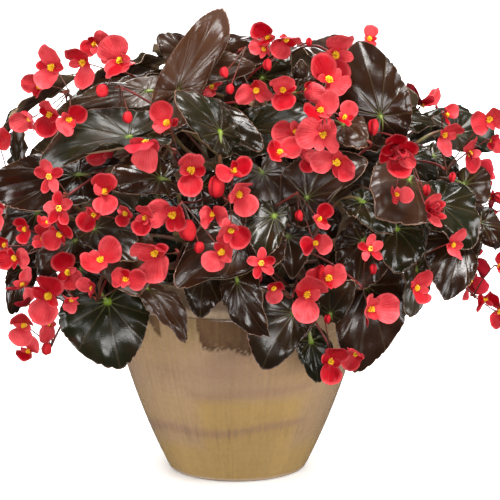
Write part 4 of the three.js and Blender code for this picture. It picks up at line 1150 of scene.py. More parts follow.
def blade_mesh(heap, leaf):
    """A blade, thicker under its veins."""
    k, out = leaf["k"], leaf["out"]
    veins = vein_angles(leaf)
    rows = max(FEWEST_ROWS, math.ceil(leaf["length"] / ROW))
    share, angle = np.meshgrid(np.linspace(0.015, 1, rows) ** 0.9, blade_columns(leaf, veins), indexing="ij")
    share_out = toothed(leaf, share, angle)
    reach, x, y, lift = blade_shape(leaf, share_out, angle)
    main, fork = vein_distances(leaf, veins, share, angle, reach)
    lift = lift + relief(leaf, share, angle, x, y, main, fork)
    narrowed, raised = roll_rim(leaf, share_out, angle, reach)
    moves = (x * narrowed, leaf["along"]), (y * narrowed, leaf["across"]), (lift + raised, out)
    over = placed(leaf["foot"], *moves)
    under = placed(over, (-THICK - 0.8 * peak(main, 0.9) * (1 - 0.6 * share) - 0.25 * peak(fork, 0.8), out))
    draws = {"tone": chance(k, 81), "warm": chance(k, 82)}
    shell(heap, over, under, False, main=main, fork=fork, edge=share, near=reach, **draws)


STALK_HAIRS = 42
HAIR = 1.6
HAIR_FOOT = 0.16  # radius
CANE_ROOT = 14  # how far a cane goes on below the soil's top


def petiole(heap, leaf):
    """A leaf's stalk, with short hairs."""
    start, knee = leaf["stalk"]["start"], leaf["stalk"]["knee"]
    end = add(leaf["foot"], mul(leaf["out"], -0.4))
    route = curve(start, knee, end, 26)
    t = np.linspace(0, 1, len(route))
    radii = LEAF_STALK_RADIUS * (1.12 - 0.3 * t + 0.25 * np.exp(-t * 14) + 0.12 * np.exp(-(1 - t) * 20))
    tone = chance(leaf["k"], 83)
    tube(heap, route, radii, sides=10, tone=tone, kind=0)
    for n in range(STALK_HAIRS):
        at = bend(start, knee, end, 0.06 + 0.9 * chance(n, 84 + leaf["k"]))
        way = unit(tuple(chance(3 * n + axis, 85 + leaf["k"]) - 0.5 for axis in range(3)))
        root = add(at, mul(way, LEAF_STALK_RADIUS * 0.7))
        hair(heap, root, add(at, mul(way, LEAF_STALK_RADIUS + HAIR)), tone)


def hair(heap, root, tip, tone):
    way = unit(sub(tip, root))
    u = unit(cross(way, (0.3, 0.5, 0.81)))
    corners = HAIR_FOOT * row((1, -0.5, -0.5)), HAIR_FOOT * row((0, 0.875, -0.875))
    points = np.concatenate([placed(root, (corners[0], u), (corners[1], cross(way, u))), [tip]])
    heap.take(points, [(0, 1, 3), (1, 2, 3), (2, 0, 3), (2, 1, 0)], along=0.5, tone=tone, kind=2)


def cane_mesh(heap, cane, index):
    """A cane, swollen at its joints."""
    upper = curve(cane["ground"], cane["knee"], cane["tip"], 64)
    route = np.concatenate([[row(sub(cane["ground"], (0, 0, CANE_ROOT)))], upper])
    length = np.concatenate([[0], np.cumsum(np.linalg.norm(np.diff(upper, axis=0), axis=1))])
    joint = 30 + 8 * chance(index, 86)
    swollen = peak(np.mod(length + 9 * chance(index, 87), joint) - joint / 2, 1.8)
    radii = CANE_RADIUS * (1 - CANE_TAPER * np.linspace(0, 1, len(upper))) * (0.97 + 0.17 * swollen)
    tube(heap, route, np.concatenate([[radii[0] * 1.05], radii]), sides=14, tone=chance(index, 88), kind=1)


# ---- Blooms ----

OPEN = (-4, 16)  # degrees that a bloom's wide-open petals lean forward
SHUT = (24, 68)  # degrees that the half-shut petal of a pair does
NARROW_LEAN = (8, 48)
ROSE_OPEN = (2, 26)  # degrees that the outer petals of a double bloom do
ROSE_HEART = (38, 72)
ROSE_RING = [
    (30, 0.72, 0.62), (92, 0.7, 0.6), (148, 0.74, 0.62), (212, 0.72, 0.6), (270, 0.7, 0.62), (328, 0.74, 0.6),
]
ROSE_LIFT = 1.6
NARROW_LIFT = 1.3  # how far the narrow petals of a pair lie over the broad ones
OTHER_LIFT = 0.5
INNERMOST = 0.0002  # share of the way out where the first ring of a petal's points lies
BROAD_GRID = (17, 72)  # rows and columns of a broad petal
NARROW_GRID = (11, 40)
TURN = 14  # the most that a petal strays from its place round the middle, in degrees
NOD = 0.34  # the most that a bloom strays from the way it faces


def nodding(bloom):
    """The bloom, turned a little on its stalk."""
    k = bloom["k"] + bloom["length"] * 3.1
    strays = [NOD * stray(k + 0.3 * axis, 107) for axis in range(2)]
    facing = unit(total(bloom["facing"], mul(bloom["first"], strays[0]), mul(bloom["second"], strays[1])))
    first = unit(sub(bloom["first"], mul(facing, dot(facing, bloom["first"]))))
    side = cross(facing, first)
    second = mul(side, 1 if dot(side, bloom["second"]) > 0 else -1)
    return {**bloom, "facing": facing, "first": first, "second": second}


def petal_lean(bloom, n, broad, lifted):
    """The range of degrees that a petal leans forward."""
    if bloom["kind"] == "double":
        return ROSE_HEART if lifted == ROSE_LIFT else ROSE_OPEN
    if bloom["kind"] == "star":
        return OPEN
    half_shut = 0 if chance(bloom["k"], 113 + bloom["length"]) > 0.3 else 2
    return (SHUT if n == half_shut else OPEN) if broad else NARROW_LEAN


def petal(heap, bloom, n, angle, long, wide, lifted):
    """One petal of a bloom: a cupped, ruffled round, or a narrow one that lies over it."""
    length = bloom["length"]
    k = bloom["k"] * 7 + n + length
    broad = wide > BROAD
    lean = between(*petal_lean(bloom, n, broad, lifted), k, 108) * DEGREE
    level, beside = turned(bloom["first"], bloom["second"], (angle + TURN * stray(k, 109)) * DEGREE)
    way, up = turned(level, bloom["facing"], lean)
    long = long * between(0.92, 1.06, k, 110)
    wide = wide * between(0.9, 1.12, k, 111)

    # the outline: an egg, pinched at its foot and scalloped
    rows, columns = BROAD_GRID if broad else NARROW_GRID
    rho, phi = polar(np.linspace(INNERMOST, 1, rows) ** 0.8, columns)
    pinch = 1 - (0.3 if broad else 0.45) * np.clip(-np.cos(phi), 0, 1) ** 2
    scallop = 1 + 0.022 * wave(2 * phi, k, 93) + 0.007 * wave(7 * phi, k, 94)
    out = long * length * (0.51 + 0.49 * rho * np.cos(phi) * scallop)
    aside = 0.5 * wide * length * (1 + 0.05 * chance(k, 92)) * rho * np.sin(phi) * pinch * scallop

    # the cup, a fluttering edge, a buckled middle and fine ribs that fan out from the foot
    lift = bloom["cup"] * (out * out + 0.6 * aside * aside) / length
    lift += 0.07 * length * rho**2 * wave(2 * phi, k, 95) + 0.012 * length * rho**4 * wave(7 * phi, k, 96)
    lift += 0.035 * length * wave(11 * aside / length, k, 97) * smooth(0.1, 0.8, out / length)
    lift += 0.9 * between(-0.4, 1, k, 112) * aside * aside / length
    ribs = np.sin(46 * np.arctan2(aside, out + 0.15 * length) + 3 * chance(k, 98))
    lift += 0.1 * ribs * smooth(0.1, 0.5, out / length) + lifted
    lift += 0.08 * length * smooth(0.8, 1, rho) * (chance(k, 99) - 0.45)

    over = placed(bloom["middle"], (out, way), (aside, beside), (lift, up))
    under = placed(over, (0.2 * rho - 0.55, up))
    shell(heap, over, under, True, out=out / length, rim=rho, rib=ribs, tone=chance(k, 101), whorl=0)


def bloom_petals(heap, bloom):
    """All petals of a bloom, with the inner ring of a double one."""
    kind = bloom["kind"]
    for n, (angle, long, wide) in enumerate(PETALS[kind]):
        narrow = kind == "pair" and wide < BROAD
        petal(heap, bloom, n, angle, long, wide, NARROW_LIFT if narrow else OTHER_LIFT * (n % 2))
    if kind == "double":
        for n, (angle, long, wide) in enumerate(ROSE_RING, len(PETALS[kind])):
            petal(heap, bloom, n, angle, long, wide, ROSE_LIFT)


STAMENS = 30
STAMEN_STEPS = row((0.15, 0.55, 0.72, 0.88, 1.0))
STAMEN_RADII = row((0.3, 0.34, 0.8, 0.86, 0.5))
PAIR_SIZE = 33  # the bloom whose stamens are drawn at full size
STAR_SIZE = 20
STYLE_FORK = 0.42  # radians to either side
STYLE_WINDINGS = 1.4


def stamen_tuft(heap, bloom):
    """A round tuft of short clubs."""
    scale = min(1.0, max(0.65, bloom["length"] / PAIR_SIZE))
    for n in range(STAMENS):
        level = 1 - 0.92 * (n + 0.5) / STAMENS
        aside = turned(bloom["first"], bloom["second"], n * GOLDEN + bloom["k"])[0]
        way = add(mul(bloom["facing"], level), mul(aside, math.sqrt(1 - level * level)))
        reach = scale * (4.6 + 0.9 * chance(n + 40 * bloom["k"], 102))
        t = STAMEN_STEPS
        route = placed(bloom["middle"], (1.2 + 0.8 * t * t, bloom["facing"]), (t * reach, unit(way)))
        tube(heap, route, scale * STAMEN_RADII, sides=6, tone=chance(n, 103), kind=0)


def stigma_tuft(heap, bloom):
    """Three styles, each forked into two twisted bands."""
    scale = bloom["length"] / STAR_SIZE
    t = np.linspace(0, 1, 30)
    for n in range(6):
        hand = 1 if n % 2 else -1
        turn = (n // 2) * 2 * math.pi / 3 + STYLE_FORK * hand
        away, beside = turned(bloom["first"], bloom["second"], turn)
        wind = 2 * math.pi * STYLE_WINDINGS * t * hand
        radius = 0.9 * scale * smooth(0.1, 0.5, t)
        route = placed(
            bloom["middle"], (0.8 + 4.4 * scale * t, bloom["facing"]),
            (0.4 + 2.4 * scale * t + radius * np.cos(wind), away), (radius * np.sin(wind), beside),
        )
        tube(heap, route, scale * (0.62 + 0.12 * np.sin(wind * 3)), sides=7, tone=chance(n, 104), kind=1)


def ovary(heap, stems, bloom):
    """The winged ovary behind a star."""
    middle, facing = bloom["middle"], bloom["facing"]
    scale = bloom["length"] / STAR_SIZE
    t = np.linspace(0, 1, 12)
    route = placed(middle, (-0.6 - 7.5 * scale * t, facing))
    tube(stems, route, scale * (0.7 + 1.7 * np.sin(math.pi * t) ** 0.8), sides=12, tone=0.4, kind=3)
    u, v = np.meshgrid(t, np.linspace(0, 1, 8), indexing="ij")
    for n in range(3):
        away, beside = turned(bloom["first"], bloom["second"], 2 * math.pi * (n / 3 + 0.1))
        wide = scale * (4.2 if n else 6.5) * np.sin(math.pi * np.clip(u * 0.93 + 0.05, 0, 1)) ** 0.6
        sag = 0.5 * np.sin(5 * u) * v
        moves = (-0.8 - 7.2 * scale * u, facing), (1.2 + wide * v, away)
        sheets = [placed(middle, *moves, (sag + side, beside)) for side in (0.25, -0.25)]
        shell(heap, *sheets, False, out=0.6 + 0.4 * v, rim=v, rib=0, tone=0.4, whorl=3)


BUD_TURN = (40, 75)
BUD_GRID = (14, 36)


def bud_mesh(heap, bloom):
    """Two shells shut like a clam, with a seam between them."""
    turn = between(*BUD_TURN, bloom["k"], 114) * DEGREE
    facing, second = turned(bloom["facing"], bloom["second"], turn)
    length = bloom["length"]
    k = bloom["k"] + length
    r, phi = polar(np.linspace(INNERMOST, 1, BUD_GRID[0]) ** 0.7, BUD_GRID[1])
    heart = 1 - 0.16 * np.clip(-np.cos(phi), 0, 1) ** 3 + 0.03 * np.sin(3 * phi + k)
    x = 0.5 * length * r * np.cos(phi) * heart
    y = 0.43 * length * r * np.sin(phi)
    dome = np.sqrt(np.clip(1 - r**2.4, 0, 1))
    ribs = 0.12 * np.sin(42 * np.arctan2(y, x + 0.6 * length))
    height = 0.27 * length * dome * (1 + 0.1 * np.cos(phi)) + ribs * dome
    for side in (1, -1):
        lip = 0.045 * length * smooth(0.8, 1, r) * (1 + 0.6 * np.sin(4 * phi + 2 * side + k))
        lift = side * (height + 0.1) + lip
        over = placed(bloom["middle"], (x, bloom["first"]), (y, second), (lift, facing))
        inner = over - side * 0.4 * row(facing)
        values = {"out": 0.55 + 0.35 * r, "rim": r**3, "rib": ribs * 6, "tone": chance(k, 105), "whorl": 2}
        shell(heap, over[:, ::side], inner[:, ::side], True, **values)


def spray_stalks_mesh(heap, spray):
    """A spray's stem, a twig to each bloom, and a small bract on either side of the fork."""
    fork = spray["fork"]
    stem = curve(spray["start"], spray["knee"], fork, 30)
    t = np.linspace(0, 1, len(stem))
    radii = SPRAY_STALK_RADIUS * (0.95 - 0.25 * t + 0.3 * np.exp(-(1 - t) * 16))
    tube(heap, stem, radii, sides=10, tone=0.3, kind=3)
    for n, (bloom, end) in enumerate(zip(spray["blooms"], spray["ends"])):
        knee = sub(mix(fork, end, 0.6), mul(bloom["facing"], 0.1 * size(sub(end, fork))))
        last = sub(bloom["middle"], mul(bloom["facing"], 0.6))
        twig = np.concatenate([curve(fork, knee, end, 18), [row(last)]])
        t = np.linspace(0, 1, len(twig))
        radii = BLOOM_STALK_RADIUS * (0.66 - 0.08 * t + 0.5 * np.exp(-(1 - t) * 12) + 0.4 * np.exp(-t * 12))
        tube(heap, twig, radii, sides=8, tone=chance(n, 106), kind=3)
        if n < 2:
            along = unit(sub(end, fork))
            bract(heap, fork, unit(cross(along, (0.2, 0.3, 0.93))), along, 7.5 if n else 6)


def bract(heap, foot, side, along, length):
    u, v = np.meshgrid(np.linspace(0, 1, 10), np.linspace(-1, 1, 7), indexing="ij")
    half = 0.3 * length * np.sin(math.pi * np.clip(u * 0.92 + 0.08, 0, 1)) ** 0.7
    way = unit(add(along, mul(side, 0.8)))
    lift = 1.6 + 0.2 * length * u * u - 0.9 * v * v
    at = placed(foot, (u * length, way), (v * half, cross(side, along)), (lift, side))
    faces = grid_faces(*u.shape)
    heap.take(at + 0.2 * row(side), faces, along=u, tone=0.5, kind=4)
    heap.take(at - 0.2 * row(side), faces[:, ::-1], along=u, tone=0.5, kind=4)


# ---- Pot and soil ----

BAND_ROLL = 9
BAND_LIP = 4.5  # how far the band's roll comes out
RIM_ROUND = 4
MOUTH_ROUND = 3
FOOT_EDGE = 3
WALL = 9
FLOOR_THICKNESS = 12
DRAIN_RADIUS = 6
DRAIN_RING = 44
DRAIN_COUNT = 3
SEAM = 1.5  # depth of the crease under the band
POT_COLUMNS = 372
UNDERSIDE_ROWS = 40
WALL_ROWS = 130
BAND_ROWS = 14
INSIDE_ROWS = 40
FLOOR_ROWS = 16
FIRST_RADIUS = 0.5  # where the underside and the floor start round their middles
FOOT_RISE = 6  # the lowest part of the wall, which is slimmer by the foot's waist
FOOT_WAIST = 0.35
BAND_BULGE = 0.5


def quarter(radius, height, wide, tall, start, count):
    """A quarter turn round a corner of the section, from so many degrees past straight down."""
    turns = (start + np.linspace(0, 90, count)) * DEGREE
    return [(radius + wide * math.sin(turn), height - tall * math.cos(turn)) for turn in turns]


def pot_profile():
    """Radius and height round the pot's section, from its underside's middle to its floor's."""
    edge = FOOT_RADIUS - FOOT_EDGE
    crease = wall_radius(BAND_BOTTOM) - SEAM
    rim, mouth = RIM_RADIUS - RIM_ROUND, MOUTH_RADIUS + MOUTH_ROUND
    made = [(radius, 0) for radius in np.linspace(FIRST_RADIUS, edge, UNDERSIDE_ROWS)]
    made += quarter(edge, FOOT_EDGE, FOOT_EDGE + 1.2, FOOT_EDGE, 0, 7)[1:]
    for height in np.linspace(FOOT_EDGE + 1.5, BAND_BOTTOM - 2, WALL_ROWS):
        made.append((wall_radius(height) - FOOT_WAIST * (height < FOOT_RISE), height))
    made += [(crease, BAND_BOTTOM - 0.6), (crease, BAND_BOTTOM + 0.4)]
    made += quarter(RIM_RADIUS - BAND_LIP, BAND_BOTTOM + BAND_ROLL, BAND_LIP, BAND_ROLL - 0.9, 0, 12)
    low, high = BAND_BOTTOM + BAND_ROLL, RIM_TOP - RIM_ROUND
    for height in np.linspace(low + 1.5, high, BAND_ROWS):
        made.append((RIM_RADIUS + BAND_BULGE * math.sin((height - low) / (high - low) * math.pi), height))
    made += quarter(rim, RIM_TOP - RIM_ROUND, RIM_ROUND, RIM_ROUND, 90, 9)[1:]
    made += [(rim + share * (mouth - rim), RIM_TOP) for share in np.linspace(0.1, 0.8, 6)]
    made += quarter(mouth, RIM_TOP - MOUTH_ROUND, MOUTH_ROUND, MOUTH_ROUND, 180, 7)[1:]
    for height in np.linspace(RIM_TOP - 6, FLOOR_THICKNESS + 3, INSIDE_ROWS):
        made.append((min(MOUTH_RADIUS, wall_radius(height) - WALL), height))
    last = wall_radius(FLOOR_THICKNESS) - WALL - 3
    made += [(radius, FLOOR_THICKNESS) for radius in np.linspace(last, FIRST_RADIUS, FLOOR_ROWS)]
    return np.array(made)


def shade(low, high, share):
    """Colours between two, for an array of shares."""
    share = np.clip(share, 0, 1)[..., None]
    return row(low) * (1 - share) + row(high) * share


def coat(tint, colour, share):
    """The tints with a share of one colour, or of an array of colours, over them."""
    return tint + (row(colour) - tint) * share[..., None]


MAUVE_TAN = (0.40, 0.264, 0.176)
WARM_TAN = (0.44, 0.285, 0.145)
GOLD_OLIVE = (0.46, 0.29, 0.098)
# painted light on the band: a pale painted reflection on its roll, in a tan that also colours the pale flecks,
# and a painted brown shade above the roll and inside the pot
PALE_FLECK_AND_REFLECTION = (0.55, 0.40, 0.27)
BAND_SHADE_BROWN = (0.13, 0.075, 0.045)
DARK_GLAZE = (0.085, 0.040, 0.019)
BROWN_GLAZE = (0.165, 0.085, 0.040)
OLIVE = (0.26, 0.175, 0.06)
MAUVE = (0.31, 0.178, 0.125)
BARE_CLAY = (0.42, 0.30, 0.20)
TINT_RADIUS = 150  # turns a way round the pot into millimetres across
PATCH_MIDDLE = 8
PATCH_HALF = 58
PATCH_DROP = 42
BAND_SHADE_FROM = (225, 231)  # heights between which the band turns from its painted pale reflection to its painted brown shade


def glaze_tint(turn, height):
    """The glaze's broad colours at a turn from the front and a height, with painted shade in the crease and on
    the band, and a painted pale reflection on the band's roll.
    """
    across = turn * TINT_RADIUS

    def noise(pace, rise, seed, waves=5):
        return ripple(across * pace, height * rise, seed, waves)

    def round_the_pot(pace, line, seed):
        return ripple(across * pace, line, seed)

    streak = noise(0.9, 0.015, 201, 7)
    fine = noise(2.2, 0.03, 202, 7)
    cloud = noise(0.028, 0.045, 203, 6)
    tint = shade(MAUVE_TAN, WARM_TAN, 0.5 + 0.4 * cloud + 0.2 * streak)

    # lower third: olive gold with a soft, ragged upper edge
    golden = 1 - smooth(102, 124, height + 5 * cloud + 3 * streak)
    sides = smooth(-70, -44, across) * (1 - smooth(84, 112, across))
    golden = golden * np.maximum(0.25 + 0.75 * sides, 1 - smooth(30, 60, height + 9 * cloud))
    tint = coat(tint, GOLD_OLIVE, 0.8 * golden)

    # mauve: a mist over the upper half, a smudge over the gold, and a fainter one half way up
    mist = smooth(-0.3, 0.8, noise(0.022, 0.03, 218)) * smooth(116, 150, height)
    tint = coat(tint, MAUVE, 0.4 * mist)
    front = smooth(-84, -58, across) * (1 - smooth(96, 124, across))
    low = peak(height - 71 - 0.05 * across + 3 * round_the_pot(0.03, 0, 204), 7 + 2.5 * cloud + 2 * streak)
    low = low * np.maximum(front, smooth(-0.3, 0.6, round_the_pot(0.03, 1, 205)))
    high = peak(height - 122 - 0.04 * across + 3 * round_the_pot(0.04, 0, 206), 8)
    high = high * np.maximum(front, smooth(-0.3, 0.6, round_the_pot(0.03, 2, 207)))
    tint = coat(tint, MAUVE, (0.62 + 0.3 * streak) * low + 0.5 * high)
    dashes = smooth(0.4, 1.0, noise(1.7, 0.03, 217)) * peak(height - 64, 12)
    tint = tint * (1 - 0.3 * dashes)[..., None]

    # olive runs down from under the band
    runs = smooth(0.45, 1.15, round_the_pot(0.11, 0.2, 208) + 0.25 * streak + 0.9 * peak(across + 54, 9))
    runs = runs * smooth(160, 200, height + 12 * round_the_pot(0.2, 0, 209))
    tint = coat(tint, OLIVE, 0.62 * runs * (0.7 + 0.3 * streak))

    # patches of dark brown glaze under the band, with a dripping, pale-flecked edge
    patch = smooth(0.0, 0.3, 1 - ((across - PATCH_MIDDLE) / PATCH_HALF) ** 2)
    patch = patch + smooth(0.62, 0.9, round_the_pot(0.018, 3, 210)) * (np.abs(across) > 95)
    patch = np.clip(patch, 0, 1)
    drips = 2.0 * round_the_pot(0.16, 0, 211) + 1.2 * round_the_pot(0.9, 0, 212)
    above = height - BAND_BOTTOM + (PATCH_DROP + 0.12 * across + drips) * patch
    dark = smooth(-2.5, 2.5, above + 1.6 * fine) * (height < BAND_BOTTOM)
    dark = dark * smooth(0.05, 0.6, patch + 0.2 * streak)
    glaze = shade(DARK_GLAZE, BROWN_GLAZE, smooth(2, 22, above + 5 * noise(0.12, 0.05, 215)))
    tint = coat(tint, glaze * (1 + 0.14 * streak)[..., None], 0.93 * dark)
    flecks = peak(above - 3, 5) * patch * (height < BAND_BOTTOM) * smooth(0.5, 0.9, noise(1.5, 1.1, 216))
    tint = coat(tint, row(PALE_FLECK_AND_REFLECTION) * 1.1, 0.65 * flecks)

    # painted shade: a dark line in the crease under the band; a pale painted reflection on the band's roll,
    # and painted brown shade above it
    tint = tint * (1 - 0.6 * peak(height - BAND_BOTTOM, 1.1))[..., None]
    brown = smooth(*BAND_SHADE_FROM, height + 1.6 * streak + 1.5 * cloud)
    painted_band = shade(PALE_FLECK_AND_REFLECTION, BAND_SHADE_BROWN, brown * (0.75 + 0.2 * cloud))
    tint = coat(tint, painted_band, smooth(BAND_BOTTOM, BAND_BOTTOM + 1.2, height))
    return tint * (1 + 0.05 * fine + 0.04 * streak)[..., None]


def make_pot(material):
    profile = pot_profile()
    radius, around = polar(profile[:, 0], POT_COLUMNS)
    around = around - math.pi
    height = np.broadcast_to(profile[:, 1:], radius.shape)
    order = np.arange(len(profile))[:, None]
    outside = order <= np.argmax(profile[:, 1] >= RIM_TOP)
    throwing = 0.04 * np.sin(height * 0.7 + 1.5 * np.sin(around))
    throwing = throwing + 0.3 * ripple(around * 2, height * 0.03, 213)
    grown = radius + throwing * (outside & (height > 4))
    x = grown * np.sin(around)
    y = -grown * np.cos(around)
    underside = (height < 1) & (order < UNDERSIDE_ROWS + 6)
    for k in range(DRAIN_COUNT):
        way = 2 * math.pi * (k + 0.5) / DRAIN_COUNT
        far = np.hypot(x - DRAIN_RING * math.cos(way), y - DRAIN_RING * math.sin(way))
        pit = smooth(DRAIN_RADIUS + 0.6, DRAIN_RADIUS - 0.8, far) * underside
        height = height + pit * (FLOOR_THICKNESS - 2)
    bare = smooth(5.5, 2.5, height + 0.8 * ripple(around * 40, 0, 214)) * outside
    tint = coat(glaze_tint(around, height), BARE_CLAY, bare)
    # painted shade: the inside below the rim is darkened to the band's painted shade brown
    tint = coat(tint, BAND_SHADE_BROWN, 0.7 * (~outside & (height < RIM_TOP - 1)))
    heap = Heap()
    heap.take(np.stack([x, y, height], -1), grid_faces(*radius.shape, True), tint=tint, bare=bare)
    # a fan of faces closes the underside, and one the floor
    ring = np.arange(POT_COLUMNS)
    last = (len(profile) - 1) * POT_COLUMNS
    for middle, first, side in ((0, 0, -1), (FLOOR_THICKNESS, last, 1)):
        fan = np.stack([np.full_like(ring, heap.count), first + ring, first + np.roll(ring, -1)], -1)
        heap.take([(0, 0, middle)], fan[:, ::side] - heap.count, tint=BARE_CLAY, bare=1)
    heap.make("glazed_pot", material, ["pot"], "glaze")


SOIL_GAP = 0.6  # between the soil and the pot's wall
SOIL_SPREAD = 140
SOIL_LEVEL = (146, 130)  # from the pot's axis: where the lumps have died away, and where they start to
SOIL_PLUG = ((1, 215), (0.97, 200), (0.004, 200))  # below the top: shares of its radius, and heights
CRUMBS = 900
CRUMB_SIZE = (0.9, 3.2)
PALE_SHARE = 0.035
SOIL_ROWS = 96
SOIL_COLUMNS = 240
SOIL_LUMPS = [
    # rise, pace, seed
    (1.8, 0.13, 221),
    (1.1, 0.37, 222),
    (0.5, 1.1, 223),
]


def soil_height(x, y):
    out = np.hypot(x, y)
    top = SOIL_TOP + SOIL_HEAP * (1 - (out / SOIL_SPREAD) ** 2)
    lumps = sum(rise * ripple(x * pace, y * pace, seed) for rise, pace, seed in SOIL_LUMPS)
    return top + lumps * smooth(*SOIL_LEVEL, out) - 1.0


def make_soil(material):
    """Lumpy soil with some moss, on a plain plug, and crumbs over it with a few pale grains."""
    heap = Heap()
    edge = min(MOUTH_RADIUS, wall_radius(SOIL_TOP) - WALL) - SOIL_GAP
    share, turn = polar(np.linspace(0.004, 1, SOIL_ROWS), SOIL_COLUMNS)
    x, y = share * edge * np.cos(turn), share * edge * np.sin(turn)
    moss = smooth(0.2, 0.9, ripple(x * 0.05, y * 0.05, 224))
    z = soil_height(x, y) + 1.2 * moss * np.abs(ripple(x * 0.9, y * 0.9, 225))
    rows = [np.stack([x, y, z], -1)]
    for narrower, height in SOIL_PLUG:
        rows.append(np.stack([x[-1:] * narrower, y[-1:] * narrower, np.full((1, SOIL_COLUMNS), height)], -1))
    green = np.concatenate([moss, np.zeros((len(SOIL_PLUG), SOIL_COLUMNS))])
    points = np.concatenate(rows)
    heap.take(points, grid_faces(len(points), SOIL_COLUMNS, True), moss=green, tone=0.3)
    theta, phi = polar(np.linspace(0.05, math.pi - 0.05, 5), 6)
    for n in range(CRUMBS):
        out = edge * 0.97 * math.sqrt(chance(n, 226))
        way = 2 * math.pi * chance(n, 227)
        at = out * np.array([math.cos(way), math.sin(way)])
        big = CRUMB_SIZE[0] + (CRUMB_SIZE[1] - CRUMB_SIZE[0]) * chance(n, 228) ** 3
        rough = big * (1 + 0.25 * np.sin(3 * phi + n) * np.sin(2 * theta + n))
        level = rough * np.sin(theta)
        crumb = np.stack([level * np.cos(phi), level * np.sin(phi), 0.7 * rough * np.cos(theta)], -1)
        crumb = crumb + row((*at, soil_height(*at) + 0.3 * big))
        tone = 1 if chance(n, 229) > 1 - PALE_SHARE else 0.6 * chance(n, 230)
        heap.take(crumb, grid_faces(5, 6, True), moss=0, tone=tone)
    heap.make("crumbly_soil", material, ["soil"], "soil")


# ---- Materials ----


class Look:
    """One material and short calls for its nodes, which the functions below name w."""

    def __init__(self, name):
        self.material = bpy.data.materials.new(name)
        self.material.use_nodes = True
        self.tree = self.material.node_tree

    def put(self, socket, value):
        """Links a socket to an output, or sets it to a constant."""
        if isinstance(value, bpy.types.NodeSocket):
            self.tree.links.new(value, socket)
        else:
            socket.default_value = (*value, 1) if socket.type == "RGBA" else value

    def node(self, kind, output, inputs, **settings):
        """The named output of a new node with these settings and inputs."""
        node = self.tree.nodes.new("ShaderNode" + kind)
        for key, value in settings.items():
            setattr(node, key, value)
        for key, value in inputs.items():
            self.put(node.inputs[key], value)
        return node.outputs[output]

    def values(self, names):
        """The attributes of these names."""
        return [self.node("Attribute", "Fac", {}, attribute_name=name) for name in names.split()]

    def math(self, operation, a, b):
        return self.node("Math", 0, {0: a, 1: b}, operation=operation)

    def step(self, value, low, high, to_low=0.0, to_high=1.0):
        """A soft step from to_low, where the value is low, to to_high, where it is high."""
        inputs = dict(enumerate((value, low, high, to_low, to_high)))
        return self.node("MapRange", 0, inputs, interpolation_type="SMOOTHSTEP")

    def mix(self, share, a, b):
        return self.node("Mix", 2, {"Factor": share, 6: a, 7: b}, data_type="RGBA")

    def coats(self, base, *coats):
        """A base under coats, each a share and a colour."""
        for share, colour in coats:
            base = self.mix(share, base, colour)
        return base

    def place(self):
        return self.node("TexCoord", "Object", {})

    def noise(self, scale, detail=3.0, rough=0.5, stretch=None):
        place = self.place()
        if stretch:
            place = self.node("Mapping", 0, {"Vector": place, "Scale": stretch})
        inputs = {"Scale": scale, "Detail": detail, "Roughness": rough, "Vector": place}
        return self.node("TexNoise", "Fac", inputs)

    def cells(self, scale, feature):
        return self.node("TexVoronoi", "Distance", {"Scale": scale, "Vector": self.place()}, feature=feature)

    def bump(self, height, strength, distance):
        return self.node("Bump", 0, {"Height": height, "Strength": strength, "Distance": distance})

    def finish(self, sockets):
        """Fills the shader's sockets and gives the material."""
        shader = self.tree.nodes["Principled BSDF"]
        for key, value in sockets.items():
            self.put(shader.inputs[key], value)
        return self.material


# Leaf colours
BRONZE_BLACK = (0.009, 0.0034, 0.0016)
BRONZE = (0.022, 0.0075, 0.0030)
RUSSET = (0.058, 0.022, 0.010)
BLACK_GREEN = (0.011, 0.015, 0.0045)
UMBER = (0.042, 0.016, 0.007)
DUSTY_VEIN = (0.070, 0.040, 0.026)
GREEN_VEIN = (0.09, 0.11, 0.025)
BRIGHT_GREEN = (0.22, 0.36, 0.03)
PINK_EDGE = (0.34, 0.18, 0.13)
MAROON = (0.15, 0.065, 0.042)
OLIVE_TAN = (0.26, 0.17, 0.09)
DARK_MAROON = (0.085, 0.035, 0.025)
TAN_VEIN = (0.30, 0.20, 0.09)
PALE_TAN = (0.50, 0.37, 0.235)


